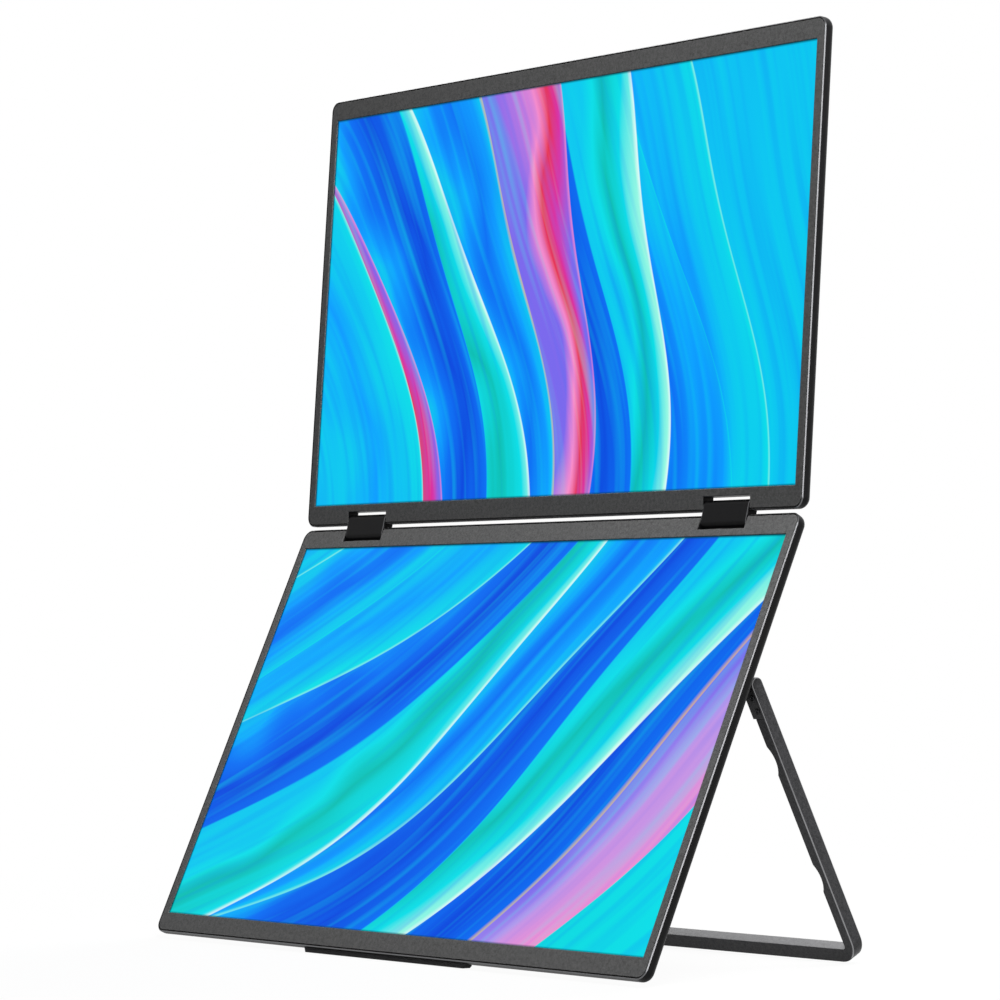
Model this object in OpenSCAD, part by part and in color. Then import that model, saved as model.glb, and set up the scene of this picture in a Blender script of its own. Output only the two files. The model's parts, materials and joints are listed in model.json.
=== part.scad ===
// Laptop screen extender: two equal screens, one above the other, joined by a
// pair of two-axle hinge blocks. The lower screen carries the electronics and
// stands on a rubber foot and a hoop kickstand.
//
// Millimetres. +Z is up and the pictures face -Y. The origin is on the desk, at
// the middle of the standing object's bounding box.
//
// A screen is drawn upright in its own frame first: X along its width, Y from
// its front face (0) to its back (panel_t), Z = 0 at its hinge edge and negative
// away from it. The upper screen is the same drawing mirrored in Z.

/* [Screens] */
// Width of each picture
active_w = 344.2; // [320:0.1:370]
// Height of each picture
active_h = 193.6; // [185:0.1:215]
// Frame beside the picture
bezel_side = 5; // [3.4:0.1:8]
// Frame between the picture and the hinge edge
bezel_hinge = 10.1; // [10:0.1:14]
// Frame between the picture and the far edge
bezel_far = 9.7; // [9.4:0.1:14]
// Thickness of a screen
panel_t = 6.4; // [6.3:0.1:7.5]
// Radius of a screen's corners
corner_r = 5; // [4.5:0.1:9]
// Rounding of a rear shell's back edge
edge_r = 3.8; // [2.5:0.1:4.4]
// Chamfer on the front edge of the rear shell's rim
rim_chamfer = 0.4; // [0.2:0.1:0.5]
// Width of the rim around the front bezel
rim_w = 0.5; // [0.5:0.1:1.2]
// Dark groove between the rim and the front bezel
groove_w = 0.5; // [0.3:0.1:0.7]
// Thickness of the front bezel
bezel_t = 0.7; // [0.5:0.05:0.8]
// Back wall of a rear shell
shell_wall = 1.2; // [0.9:0.1:1.3]

/* [Display modules] */
// Thickness of the glass cell
glass_t = 1.1; // [0.8:0.05:1.2]
// Thickness of the backlight
backlight_t = 1.45; // [1.1:0.05:1.5]
// Module beyond the picture, at its sides
module_side = 1.1; // [0.6:0.1:1.3]
// Module beyond the picture, towards the hinge edge
module_hinge = 2.1; // [1:0.1:2.2]
// Module beyond the picture, towards the far edge
module_far = 6.7; // [4:0.1:6.9]
// Play around the module in its pocket
module_play = 0.3; // [0.1:0.05:0.4]
// Ledge that the module lies on
module_ledge = 3.5; // [2:0.1:5]

/* [Hinges] */
// Middle of each hinge from the middle of the screens
hinge_x = 129; // [110:0.5:135]
// Width of the notches that a hinge block sits in
notch_w = 30.3; // [26:0.1:32]
// Gap at each end of a block in its notch
block_gap = 0.5; // [0.3:0.05:0.8]
// Radius of a block's rounded ends, half its thickness
block_r = 2.8; // [2.5:0.05:2.85]
// Distance between a block's two shafts
axis_pitch = 7.4; // [7.2:0.1:9]
// Distance of a shaft from its screen's hinge edge
axis_in = 2.4; // [2.3:0.1:2.6]
// Depth of a shaft behind its screen's front
axis_depth = 2.9; // [2.85:0.05:3.1]
// Gap between a block's end and the bottom of its notch
notch_clear = 1.6; // [0.8:0.1:1.7]
// Wall of the shell around a notch
notch_wall = 1; // [0.6:0.1:1]
// Diameter of the hinge shafts
shaft_d = 2; // [1.6:0.1:2.1]
// Radial running clearance of every shaft in its bore
running = 0.03; // [0.01:0.01:0.08]
// Wall of a hinge block's cover
block_wall = 0.7; // [0.5:0.05:0.8]
// Thickness of one friction plate
plate_t = 1; // [0.6:0.1:1.4]
// Friction plates in each block
plate_count = 6; // [3:1:7]
// Angle by which the upper screen leans forward of the lower one
fold = 20.75; // [0:0.25:60]

/* [Hinge leaves] */
// Thickness of a hinge leaf
leaf_t = 0.8; // [0.6:0.05:0.8]
// Width of a hinge leaf
leaf_w = 14; // [10:0.5:18]
// Reach of a hinge leaf from the hinge edge
leaf_reach = 31; // [28:0.5:40]
// Metal around the shaft in a leaf's lug
lug_ring = 0.4; // [0.3:0.05:0.45]
// Thickness of a leaf's lug
lug_t = 1.2; // [0.8:0.1:1.6]

/* [Kickstand] */
// Overall width of the hoop
stand_w = 345; // [340:0.5:348]
// Width of each leg
leg_w = 5.5; // [5.2:0.1:7]
// Thickness of the hoop
leg_t = 6.2; // [5.5:0.1:7]
// Height of the crossbar
bar_h = 6.5; // [6:0.1:8]
// Length from the pivot to the crossbar's underside
stand_len = 134.4; // [133:0.1:137]
// Outer radius of the hoop's corners
hoop_r = 10; // [7.5:0.5:14]
// Inner radius of the hoop's corners
hoop_inner_r = 2; // [1:0.5:4]
// Pivot from the lower screen's hinge edge
pivot_down = 75.5; // [75:0.5:77]
// Pivot behind the lower screen's back
pivot_back = 5; // [4.6:0.1:5.2]
// Opening angle of the kickstand as it stands
stand_open = 52.5; // [30:0.5:75]
// Distance of the two reliefs along a leg from the pivot
reliefs = [35.5, 92.5];
// Depth of a relief in the leg's inner edge
relief_d = 1.9; // [0.5:0.1:2.5]
// Radius of a relief
relief_r = 12.7; // [8:0.1:20]
// Diameter of the kickstand's shafts
pivot_d = 3; // [2.4:0.1:3.4]
// Length of the rubber pad in the crossbar
pad_w = 76; // [40:1:120]
// Width of the pad's face
pad_t = 4; // [3:0.1:5]
// Depth of the pad's groove
pad_in = 1; // [0.6:0.1:1.5]
// Height of the pad beyond the crossbar
pad_out = 0.6; // [0.5:0.05:0.8]

/* [Foot] */
// Length of the foot strip at the screen
foot_w = 118; // [80:1:200]
// Length that the foot's ends lose in their bevel
foot_bevel = 2; // [1:0.5:8]
// Front of the foot behind the screen's front
foot_front = 2; // [1.5:0.1:2.5]
// Back of the foot behind the screen's front
foot_back = 5.2; // [4.5:0.1:5.6]
// Reach of the foot's front edge below the screen
foot_drop = 2.4; // [2.2:0.1:3.5]

/* [Rear housing] */
// Gap between the housing's sides and the kickstand's legs
housing_gap = 9; // [7:0.5:10]
// Top of the housing from the hinge edge
housing_top = 62; // [58:0.5:64]
// Bottom of the housing from the hinge edge
housing_bottom = 200; // [198:0.5:201]
// Depth of the housing behind the screen's back
housing_d = 9; // [8.8:0.1:11]
// Wall of the housing
housing_wall = 1.4; // [1:0.1:1.5]
// Radius of the housing's corners
housing_r = 8; // [6:0.5:14]
// Rounding of the housing's back edge
housing_edge = 3; // [1.5:0.1:3.5]
// Vent slots
vent_count = 21; // [5:1:31]
// Height of the vent slots
vent_h = 12; // [4:0.5:14]
// Top of the vent slots below the housing's top
vent_top = 14; // [8:0.5:16]
// Middle of a speaker from the middle of the screens
speaker_x = 95; // [80:0.5:100]
// Length of a speaker box
speaker_w = 66; // [50:1:70]
// Height of a speaker box
speaker_h = 14.5; // [12:0.5:15]
// Middle of a speaker above the housing's bottom
speaker_lift = 11.5; // [10:0.5:12]
// Slots in each speaker grille
grille_count = 12; // [4:1:14]
// Height of the speaker slots
grille_h = 8; // [3:0.5:9]

/* [Electronics] */
// Thickness of the circuit boards
board_t = 1; // [0.8:0.1:1.2]
// Height of the boards above the lower screen's back
board_lift = 2; // [1.6:0.1:2.2]
// Height of the sockets
socket_h = 3.2; // [3:0.1:3.4]
// Width of a USB-C socket
usb_w = 9; // [8.8:0.1:9.4]
// Width of the mini-HDMI socket
hdmi_w = 11.2; // [11:0.1:11.6]
// Clearance around sockets and buttons in the housing
port_gap = 0.2; // [0.1:0.05:0.3]
// Travel of the push buttons
button_travel = 0.4; // [0.2:0.05:0.45]
// Length of a push button
button_w = 5; // [4:0.1:6]
// Length of the menu rocker
rocker_w = 12; // [9:0.5:13]
// Height of the buttons
button_h = 3; // [2.5:0.1:3.2]
// Diameter of the menu rocker's pin
rocker_pin_d = 1.2; // [1:0.1:1.4]
// Distance between neighbouring controls
control_pitch = 12; // [11.5:0.5:13]
// Diameter of the cable that joins the screens
cable_d = 1.6; // [1.2:0.1:1.6]

/* [Hidden] */

$fn = 48;
// Overshoot of cutting shapes
cut = 1;

// Screen sizes
panel_w = active_w + 2 * bezel_side;
panel_h = active_h + bezel_hinge + bezel_far;
bezel_inset = rim_w + groove_w;
module_back = bezel_t + glass_t + backlight_t;
back_inside = panel_t - shell_wall;
pocket_half = active_w / 2 + module_side + module_play;
pocket_far = panel_h - bezel_far + module_far + module_play;
space_half = pocket_half - module_ledge;
pocket_r = 1;

// Hinge places
notch_d = axis_in + block_r + notch_clear;
notch_inner_x = hinge_x - notch_w / 2;
notch_outer_x = hinge_x + notch_w / 2;
block_w = notch_w - 2 * block_gap;
block_inner_x = hinge_x - block_w / 2;
block_outer_x = hinge_x + block_w / 2;
lug_r = shaft_d / 2 + lug_ring;
lug_play = 0.1;
lug_outer_x = notch_inner_x - notch_wall - 0.35;
leaf_back = panel_t - shell_wall - 0.4;
leaf_front = leaf_back - leaf_t;
leaf_top = axis_in + 1.9;
leaf_screw_x = lug_outer_x - leaf_w / 2;
leaf_screw_z = [leaf_reach - 19, leaf_reach - 6];

// Screws
screw_d = 1.6;
screw_hole_d = 1.7;
leaf_head_d = 3.6;
leaf_head_t = min(0.55, leaf_front - module_back - 0.1);

// Housing places, in the lower screen's frame
housing_x = stand_w / 2 - leg_w - housing_gap;
housing_back = panel_t + housing_d;
housing_inside = housing_back - housing_wall;
post_top = housing_inside - 2;
top_post_x = housing_x - 20;
top_post_z = -housing_top - 7;
low_post_x = housing_x - 8;
low_post_z = -housing_bottom + 8;
housing_posts = [for (x = [-1, 0, 1], upper = [true, false])
    upper ? [x * top_post_x, top_post_z] : [x * low_post_x, low_post_z]];
post_d = 4.8;
housing_head_d = 3.8;
pivot_y = panel_t + pivot_back;
housing_inner_r = housing_r - housing_wall;
bracket_w = 10;
bracket_h = 17;
bracket_play = 0.3;
corner_reach = bracket_h / 2 - pivot_down + housing_top + housing_wall + housing_inner_r + bracket_play;
bracket_inset = housing_inner_r - sqrt(pow(housing_inner_r, 2) - pow(max(0, corner_reach), 2)) + bracket_play;
bracket_x = housing_x - housing_wall - bracket_w - bracket_inset;
bracket_screw_x = bracket_x + bracket_w / 2 + 0.3;
bracket_plate_t = 1.4;
bracket_screws = [-pivot_down - 6, -pivot_down + 6];
hub_r = leg_t / 2;
hub_x = stand_w / 2 - leg_w - 2.2;
cheek_x = hub_x + 0.6;
cheek_t = stand_w / 2 - leg_w - cheek_x - 0.1;

// Electronics places, in the lower screen's frame
board_y = panel_t + board_lift;
board_back = board_y + board_t;
socket_y = board_back + socket_h / 2;
socket_len = 7.4;
socket_mouth_x = housing_x - 0.4;
usb_z = -pivot_down - reliefs[0];
controls_z = -pivot_down - reliefs[1];
main_w = 196;
board_gap = 0.6;
main_x = [housing_x - housing_wall - board_gap - main_w, housing_x - housing_wall - board_gap];
main_z = [controls_z - 8, usb_z + 7];
control_x = [-housing_x + housing_wall + 1.8, -speaker_x - speaker_w / 2 - 0.8];
control_z = [controls_z - 17, usb_z + 7];
post_in = 6;
main_posts = [
    [main_x[0] + post_in, main_z[1] - post_in], [main_x[0] + post_in, main_z[0] + post_in],
    [main_x[1] - post_in, usb_z - 16], [main_x[1] - post_in, controls_z + 16]
];
control_posts = [for (z = [control_z[1] - post_in, control_z[0] + post_in]) [control_x[1] - post_in / 2, z]];
board_post_d = 4;
board_head_d = 3.4;
window = [-12, 12, usb_z + 6, usb_z + 22];
cable_window = [control_x[1] - 11, control_x[1] - 3, usb_z + 12, usb_z + 24];

// Standing pose. The foot's flat underside and the pad's front edge touch the
// desk, so the lean of the lower screen follows from where these two lie.
pad_y = pivot_y + (stand_len + pad_out) * sin(stand_open) - pad_t / 2 * cos(stand_open);
pad_z = -pivot_down - (stand_len + pad_out) * cos(stand_open) - pad_t / 2 * sin(stand_open);
foot_z = -panel_h - foot_drop;
lean = atan2(pad_z - foot_z, pad_y - foot_front);
function world_y(y, z) = y * cos(lean) + z * sin(lean);
function world_z(y, z) = -y * sin(lean) + z * cos(lean);
// Points that can be the front or the back of the standing object
hoop_chamfer = 0.5;
front_y = world_y(0, -panel_h + rim_chamfer);
hoop_s = stand_len - hoop_chamfer;
hoop_back_y = world_y(
    pivot_y + hoop_s * sin(stand_open) + leg_t / 2 * cos(stand_open),
    -pivot_down - hoop_s * cos(stand_open) + leg_t / 2 * sin(stand_open));
base_y = -(front_y + hoop_back_y) / 2;
base_z = -world_z(foot_front, foot_z);

// ---------------------------------------------------------------- frames

// The lower screen's frame
module at_lower() {
    translate([0, base_y, base_z]) rotate([-lean, 0, 0]) children();
}

// The hinge blocks' frame: the lower shaft at the origin, the upper one above it
module at_hinge() {
    at_lower() translate([0, axis_depth, -axis_in]) rotate([fold / 2, 0, 0]) children();
}

// The upper screen's frame, mirrored so that the same drawing serves
module at_upper() {
    at_hinge() translate([0, 0, axis_pitch]) rotate([fold / 2, 0, 0])
        translate([0, -axis_depth, -axis_in]) mirror([0, 0, 1]) children();
}

// The kickstand's frame: the pivot at the origin, the legs along -Z
module at_stand() {
    at_lower() translate([0, pivot_y, -pivot_down]) rotate([stand_open, 0, 0]) children();
}

// ---------------------------------------------------------------- helpers

// A child and its mirror image in X
module both_sides() {
    children();
    mirror([1, 0, 0]) children();
}

// The child as drawn for the right, or mirrored for the left
module on_side(side) {
    if (side == "left") mirror([1, 0, 0]) children();
    else children();
}

// A box between two corners
module block(x, y, z) {
    translate([x[0], y[0], z[0]]) cube([x[1] - x[0], y[1] - y[0], z[1] - z[0]]);
}

// A round bar along X
module rod_x(x, y, z, d) {
    translate([x[0], y, z]) rotate([0, 90, 0]) cylinder(h = x[1] - x[0], d = d);
}

// A round bar along Y
module rod_y(x, y, z, d) {
    translate([x, y[0], z]) rotate([-90, 0, 0]) cylinder(h = y[1] - y[0], d = d);
}

// A plate in the XZ plane with rounded corners
module slab(half_w, y, z, r) {
    translate([0, y[1], 0]) rotate([90, 0, 0]) linear_extrude(y[1] - y[0]) {
        translate([-half_w + r, z[0]]) square([2 * (half_w - r), z[1] - z[0]]);
        translate([-half_w, z[0] + r]) square([2 * half_w, z[1] - z[0] - 2 * r]);
        for (x = [-1, 1], corner_z = [z[0] + r, z[1] - r])
            translate([x * (half_w - r), corner_z]) circle(r);
    }
}

// A slot with round ends, its length along Z and its depth along X
module slot_x(x, y, z, length, height) {
    translate([x[0], y, z]) rotate([0, 90, 0]) linear_extrude(x[1] - x[0]) {
        square([length - height, height], center = true);
        for (end = [-1, 1]) translate([end * (length - height) / 2, 0]) circle(d = height);
    }
}

// A rounded corner of a slab: front edge chamfered, back edge rounded
module corner_disc(r, t, chamfer, round_r) {
    steps = 8;
    arc = [for (i = [0:steps]) let (a = 90 * i / steps)
        [r - round_r + round_r * cos(a), t - round_r + round_r * sin(a)]];
    rotate([-90, 0, 0]) rotate_extrude($fn = 32)
        polygon(concat([[0, 0], [r - chamfer, 0], [r, chamfer]], arc, [[0, t]]));
}

// A slab whose back edge is rounded all round
module pillow(half_w, y, z, r, chamfer, round_r) {
    hull() for (x = [-1, 1], corner_z = [z[0] + r, z[1] - r])
        translate([x * (half_w - r), y[0], corner_z])
            corner_disc(r, y[1] - y[0], chamfer, round_r);
}

// A round cable through points, as straight stretches with round joints
module cable(points, d) {
    for (i = [0:len(points) - 2]) hull() {
        translate(points[i]) sphere(d = d, $fn = 16);
        translate(points[i + 1]) sphere(d = d, $fn = 16);
    }
}

// A screw along Y: its head starts at y_head and its shank runs towards -Y or +Y
module screw_y(x, z, y_head, head_d, head_t, length, dir) {
    shank_end = y_head + dir * (head_t + length);
    rod_y(x, [min(y_head, y_head + dir * head_t), max(y_head, y_head + dir * head_t)], z, head_d);
    rod_y(x, [min(y_head, shank_end), max(y_head, shank_end)], z, screw_d);
}

// ---------------------------------------------------------------- screens

// Space that a hinge block turns in
module notch() {
    block([notch_inner_x, notch_outer_x], [-cut, panel_t + cut], [-notch_d, cut]);
}

// Shell material that is kept around a notch
module notch_frame() {
    block([notch_inner_x - notch_wall, notch_outer_x + notch_wall], [bezel_t, panel_t],
        [-notch_d - notch_wall, 0]);
}

// Holes for a leaf's lug, its shaft and its screws, in the shell
module leaf_cuts() {
    rod_x([lug_outer_x - lug_t - 1.3, notch_inner_x - notch_wall + 0.01], axis_depth, -axis_in,
        2 * (lug_r + lug_play));
    rod_x([notch_inner_x - notch_wall - cut, notch_inner_x + cut], axis_depth, -axis_in, shaft_d + 0.4);
    for (z = leaf_screw_z) rod_y(leaf_screw_x, [leaf_back - 0.1, panel_t - 0.5], -z, screw_hole_d);
}

// Passage of the link cable beside the left notch
module cable_cut() {
    rod_x([-notch_outer_x - 7, -notch_outer_x + cut], axis_depth, -axis_in, cable_d + 0.4);
    block([cable_lane_x - cable_d / 2 - 0.3, cable_lane_x + cable_d / 2 + 0.3], [axis_depth, back_inside],
        [-leaf_top, -axis_in]);
}

// The rear shell that both screens share
module screen_shell() {
    difference() {
        pillow(panel_w / 2, [0, panel_t], [-panel_h, 0], corner_r, rim_chamfer, edge_r);
        difference() {
            union() {
                slab(panel_w / 2 - rim_w, [-cut, bezel_t], [-panel_h + rim_w, -rim_w], corner_r - rim_w);
                slab(pocket_half, [bezel_t - cut, module_back], [-pocket_far, -axis_in + 0.5], pocket_r);
                slab(space_half, [module_back - cut, back_inside],
                    [-pocket_far + module_ledge, -leaf_top + 0.3], 3);
            }
            both_sides() notch_frame();
            both_sides() for (z = leaf_screw_z)
                rod_y(leaf_screw_x, [leaf_back, back_inside + cut], -z, 4.4);
        }
        both_sides() notch();
        both_sides() leaf_cuts();
        cable_cut();
    }
}

// The frame around the picture
module screen_bezel() {
    difference() {
        slab(panel_w / 2 - bezel_inset, [0, bezel_t], [-panel_h + bezel_inset, -bezel_inset],
            corner_r - bezel_inset);
        block([-active_w / 2, active_w / 2], [-cut, bezel_t + cut], [-bezel_hinge - active_h, -bezel_hinge]);
        both_sides() notch();
    }
}

// A plate of the display module
module module_plate(y) {
    half = active_w / 2 + module_side;
    block([-half, half], y, [-bezel_hinge - active_h - module_far, -bezel_hinge + module_hinge]);
}

module screen_glass() {
    module_plate([bezel_t, bezel_t + glass_t]);
}

module screen_backlight() {
    module_plate([bezel_t + glass_t, module_back]);
}

// A hinge leaf: a plate on the shell's bosses, with a lug that holds the shaft
module hinge_leaf() {
    leaf_x = [lug_outer_x - leaf_w, lug_outer_x];
    lug_x = [lug_outer_x - lug_t, lug_outer_x];
    difference() {
        union() {
            block(leaf_x, [leaf_front, leaf_back], [-leaf_reach, -leaf_top]);
            rod_x(lug_x, axis_depth, -axis_in, 2 * lug_r);
            block(lug_x, [axis_depth - 0.9, module_back - 0.05], [-leaf_top - 1, -axis_in]);
            block(lug_x, [axis_depth - 0.9, leaf_back], [-leaf_top - 2.2, -leaf_top]);
        }
        rod_x([lug_x[0] - cut, lug_x[1] + cut], axis_depth, -axis_in, shaft_d + 0.02);
        for (z = leaf_screw_z) rod_y(leaf_screw_x, [leaf_front - cut, leaf_back + cut], -z, screw_d + 0.4);
    }
}

// The shaft from a leaf's lug into the hinge block
module hinge_shaft() {
    rod_x([lug_outer_x - lug_t - 0.8, hinge_x + 5], axis_depth, -axis_in, shaft_d);
}

module leaf_screws() {
    both_sides() for (z = leaf_screw_z)
        screw_y(leaf_screw_x, -z, leaf_front - leaf_head_t, leaf_head_d, leaf_head_t,
            leaf_t + 0.8, 1);
}

// ---------------------------------------------------------------- lower screen

module lower_rear_shell() color([0.16, 0.16, 0.17]) at_lower() {
    difference() {
        union() {
            screen_shell();
            for (p = housing_posts) rod_y(p[0], [panel_t - 0.3, post_top], p[1], post_d);
            for (p = concat(main_posts, control_posts))
                rod_y(p[0], [panel_t - 0.3, board_y], p[1], board_post_d);
            both_sides() for (z = bracket_screws)
                rod_y(bracket_screw_x, [back_inside - 0.8, back_inside + 0.3], z, 4.4);
        }
        for (p = housing_posts) rod_y(p[0], [panel_t + 1.2, post_top + cut], p[1], screw_hole_d);
        for (p = concat(main_posts, control_posts))
            rod_y(p[0], [back_inside + 0.6, board_y + cut], p[1], screw_hole_d);
        both_sides() for (z = bracket_screws)
            rod_y(bracket_screw_x, [back_inside - 0.5, panel_t + cut], z, screw_hole_d);
        block([window[0], window[1]], [back_inside - cut, panel_t + cut], [window[2], window[3]]);
        block([cable_window[0], cable_window[1]], [back_inside - cut, panel_t + cut],
            [cable_window[2], cable_window[3]]);
    }
}

module lower_front_bezel() color([0.3, 0.3, 0.3]) at_lower() screen_bezel();

module lower_display_glass() color([0.1, 0.62, 0.85]) at_lower() screen_glass();

module lower_backlight() color([0.75, 0.76, 0.78]) at_lower() screen_backlight();

module lower_hinge_leaf(side) color([0.62, 0.63, 0.65]) at_lower() on_side(side) hinge_leaf();

module lower_hinge_shafts() color([0.72, 0.73, 0.75]) at_lower() both_sides() hinge_shaft();

module lower_leaf_screws() color([0.5, 0.5, 0.52]) at_lower() leaf_screws();

// Rubber strip under the bottom edge, flat on the desk
module foot_strip() color([0.08, 0.08, 0.08]) at_lower() {
    foot_back_z = foot_z + (foot_back - foot_front) * tan(lean);
    difference() {
        rotate([90, 0, 90]) translate([0, 0, -foot_w / 2]) linear_extrude(foot_w)
            polygon([[foot_front, foot_z], [foot_back, foot_back_z],
                [foot_back, -panel_h + 2], [foot_front, -panel_h + 2]]);
        rod_x([-foot_w, foot_w], panel_t - edge_r, -panel_h + edge_r, 2 * edge_r);
        block([-foot_w, foot_w], [0, panel_t - edge_r], [-panel_h, -panel_h + 2 + cut]);
        both_sides() translate([foot_w / 2, 0, -panel_h])
            rotate([0, atan(foot_bevel / foot_drop), 0])
                block([0, 20], [-cut, panel_t + cut], [-20, 20]);
    }
}

// ---------------------------------------------------------------- rear housing

module speaker_slots() {
    pitch = 4.8;
    first_x = speaker_x - (grille_count - 1) * pitch / 2;
    for (i = [0:grille_count - 1])
        block([first_x + i * pitch - 1, first_x + i * pitch + 1], [housing_inside - cut, housing_back + cut],
            [speaker_mid_z - grille_h / 2, speaker_mid_z + grille_h / 2]);
}

module vent_slots() {
    pitch = 5;
    first_x = -(vent_count - 1) * pitch / 2;
    for (i = [0:vent_count - 1])
        block([first_x + i * pitch - 0.8, first_x + i * pitch + 0.8],
            [housing_inside - cut, housing_back + cut],
            [-housing_top - vent_top - vent_h, -housing_top - vent_top]);
}

// Openings in the side walls for sockets and controls
module side_openings() {
    side_x = [housing_x - housing_wall - cut, housing_x + cut];
    both_sides() slot_x(side_x, socket_y, usb_z, usb_w + 2 * port_gap, socket_h + 2 * port_gap);
    slot_x(side_x, socket_y, controls_z, hdmi_w + 2 * port_gap, socket_h + 2 * port_gap);
    mirror([1, 0, 0]) {
        for (i = [-1, 1]) slot_x(side_x, socket_y, controls_z + i * control_pitch,
            button_w + 2 * port_gap, button_h + 2 * port_gap);
        slot_x(side_x, socket_y, controls_z, rocker_w + 4 * port_gap, button_h + 2 * port_gap);
    }
}

module rear_housing() color([0.13, 0.13, 0.14]) at_lower() {
    difference() {
        union() {
            pillow(housing_x, [panel_t, housing_back], [-housing_bottom, -housing_top], housing_r, 0.1,
                housing_edge);
            both_sides() rod_x([housing_x - 1, hub_x], pivot_y, -pivot_down, 2 * hub_r);
        }
        difference() {
            slab(housing_x - housing_wall, [panel_t - cut, housing_inside],
                [-housing_bottom + housing_wall, -housing_top - housing_wall], housing_inner_r);
            for (p = housing_posts) rod_y(p[0], [post_top, housing_inside + cut], p[1], post_d + 1);
        }
        for (p = housing_posts) {
            rod_y(p[0], [post_top - cut, housing_back + cut], p[1], screw_d + 0.3);
            rod_y(p[0], [housing_back - 1, housing_back + cut], p[1], housing_head_d + 0.4);
        }
        both_sides() rod_x([housing_x - housing_wall - cut, hub_x + cut], pivot_y, -pivot_down,
            pivot_d + 0.4);
        both_sides() speaker_slots();
        vent_slots();
        side_openings();
    }
}

module housing_screws() color([0.3, 0.3, 0.31]) at_lower()
    for (p = housing_posts) screw_y(p[0], p[1], housing_back - 0.1, housing_head_d, 0.9, 5, -1);

// ---------------------------------------------------------------- electronics

module board(x, z, posts) {
    difference() {
        block(x, [board_y, board_back], z);
        for (p = posts) rod_y(p[0], [board_y - cut, board_back + cut], p[1], screw_d + 0.5);
    }
}

module main_board() color([0.05, 0.3, 0.18]) at_lower() board(main_x, main_z, main_posts);

module control_board() color([0.05, 0.3, 0.18]) at_lower() board(control_x, control_z, control_posts);

// Parts on the main board
scaler_w = 16;
scaler_t = 1.4;
scaler_pitch = 64;
memory_w = 9;
memory_h = 12;
memory_t = 1;
memory_pitch = 24;
capacitor_d = 6;
coil_w = 7;
coil_t = 2.6;
part_row = 24;

// A chip on the back of the main board
module chip(x, z, w, h, t) {
    block([x - w / 2, x + w / 2], [board_back, board_back + t], [z - h / 2, z + h / 2]);
}

module main_board_chips() color([0.07, 0.07, 0.08]) at_lower() {
    mid_z = (main_z[0] + main_z[1]) / 2;
    for (i = [0, 1]) {
        scaler_x = main_x[0] + 60 + i * scaler_pitch;
        chip(scaler_x, mid_z, scaler_w, scaler_w, scaler_t);
        for (side = [-1, 1])
            chip(scaler_x + memory_pitch, mid_z + side * memory_h, memory_w, memory_h, memory_t);
    }
    for (i = [0:4])
        rod_y(main_x[0] + 18 + 2 * capacitor_d * i, [board_back, board_back + capacitor_d / 2],
            mid_z + part_row, capacitor_d);
    for (i = [0:3]) chip(main_x[0] + 100 + 2.5 * coil_w * i, mid_z - part_row, coil_w, coil_w, coil_t);
}

module board_screws() color([0.66, 0.66, 0.68]) at_lower()
    for (p = concat(main_posts, control_posts))
        screw_y(p[0], p[1], board_back + 0.8, board_head_d, 0.8, board_t + board_lift, -1);

// Sockets stand on a board and open through the housing's side
module socket_shell(z, w) {
    difference() {
        slot_x([socket_mouth_x - socket_len, socket_mouth_x], socket_y, z, w, socket_h);
        slot_x([socket_mouth_x - socket_len + 0.6, socket_mouth_x + cut], socket_y, z, w - 0.6,
            socket_h - 0.6);
    }
}

module socket_tongue(z, w) {
    block([socket_mouth_x - socket_len + 0.6, socket_mouth_x - 1], [socket_y - 0.35, socket_y + 0.35],
        [z - w / 2, z + w / 2]);
}

module usb_c_sockets() color([0.75, 0.76, 0.78]) at_lower() both_sides() socket_shell(usb_z, usb_w);

module mini_hdmi_socket() color([0.75, 0.76, 0.78]) at_lower() socket_shell(controls_z, hdmi_w);

module socket_tongues() color([0.06, 0.06, 0.07]) at_lower() {
    both_sides() socket_tongue(usb_z, usb_w - 2.4);
    socket_tongue(controls_z, hdmi_w - 3);
}

// Places of the switches behind the buttons and under the rocker's ends
switch_z = [controls_z - control_pitch, controls_z - 5, controls_z + 5, controls_z + control_pitch];
switch_front_x = -control_x[0] - 0.2;
nub_x = switch_front_x + 0.1;

module control_switches() color([0.2, 0.2, 0.21]) at_lower() mirror([1, 0, 0])
    for (z = switch_z) {
        block([switch_front_x - 3, switch_front_x], [board_back, board_back + 2.8], [z - 1.4, z + 1.4]);
        rod_x([switch_front_x - 0.5, nub_x], socket_y, z, 1.4);
    }

// Flat ribbon from board to board, on their backs
module board_ribbon() color([0.85, 0.83, 0.75]) at_lower()
    block([control_x[1] - 10, main_x[0] + 8], [board_back, board_back + 0.3],
        [usb_z - 22, usb_z - 8]);

// Flat ribbon from the lower display's back, through the shell, to the main board
module display_ribbon() color([0.85, 0.83, 0.75]) at_lower() {
    ribbon_x = [window[0] + 3, window[1] - 3];
    ribbon_z = main_z[1] + 1;
    block(ribbon_x, [module_back, module_back + 0.3], [ribbon_z, ribbon_z + 30]);
    block(ribbon_x, [module_back, board_back + 0.3], [ribbon_z, ribbon_z + 0.3]);
    block(ribbon_x, [board_back, board_back + 0.3], [ribbon_z - 9, ribbon_z + 0.3]);
}

// Place of a speaker above the housing's bottom, and of its box and cone
speaker_mid_z = -housing_bottom + speaker_lift;
speaker_box_y = [panel_t, housing_inside - 0.8];
cone_y = [speaker_box_y[1] - 1.4, speaker_box_y[1] - 0.6];
cone_z = [speaker_mid_z - speaker_h / 2 + 2.5, speaker_mid_z + speaker_h / 2 - 2.5];

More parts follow.
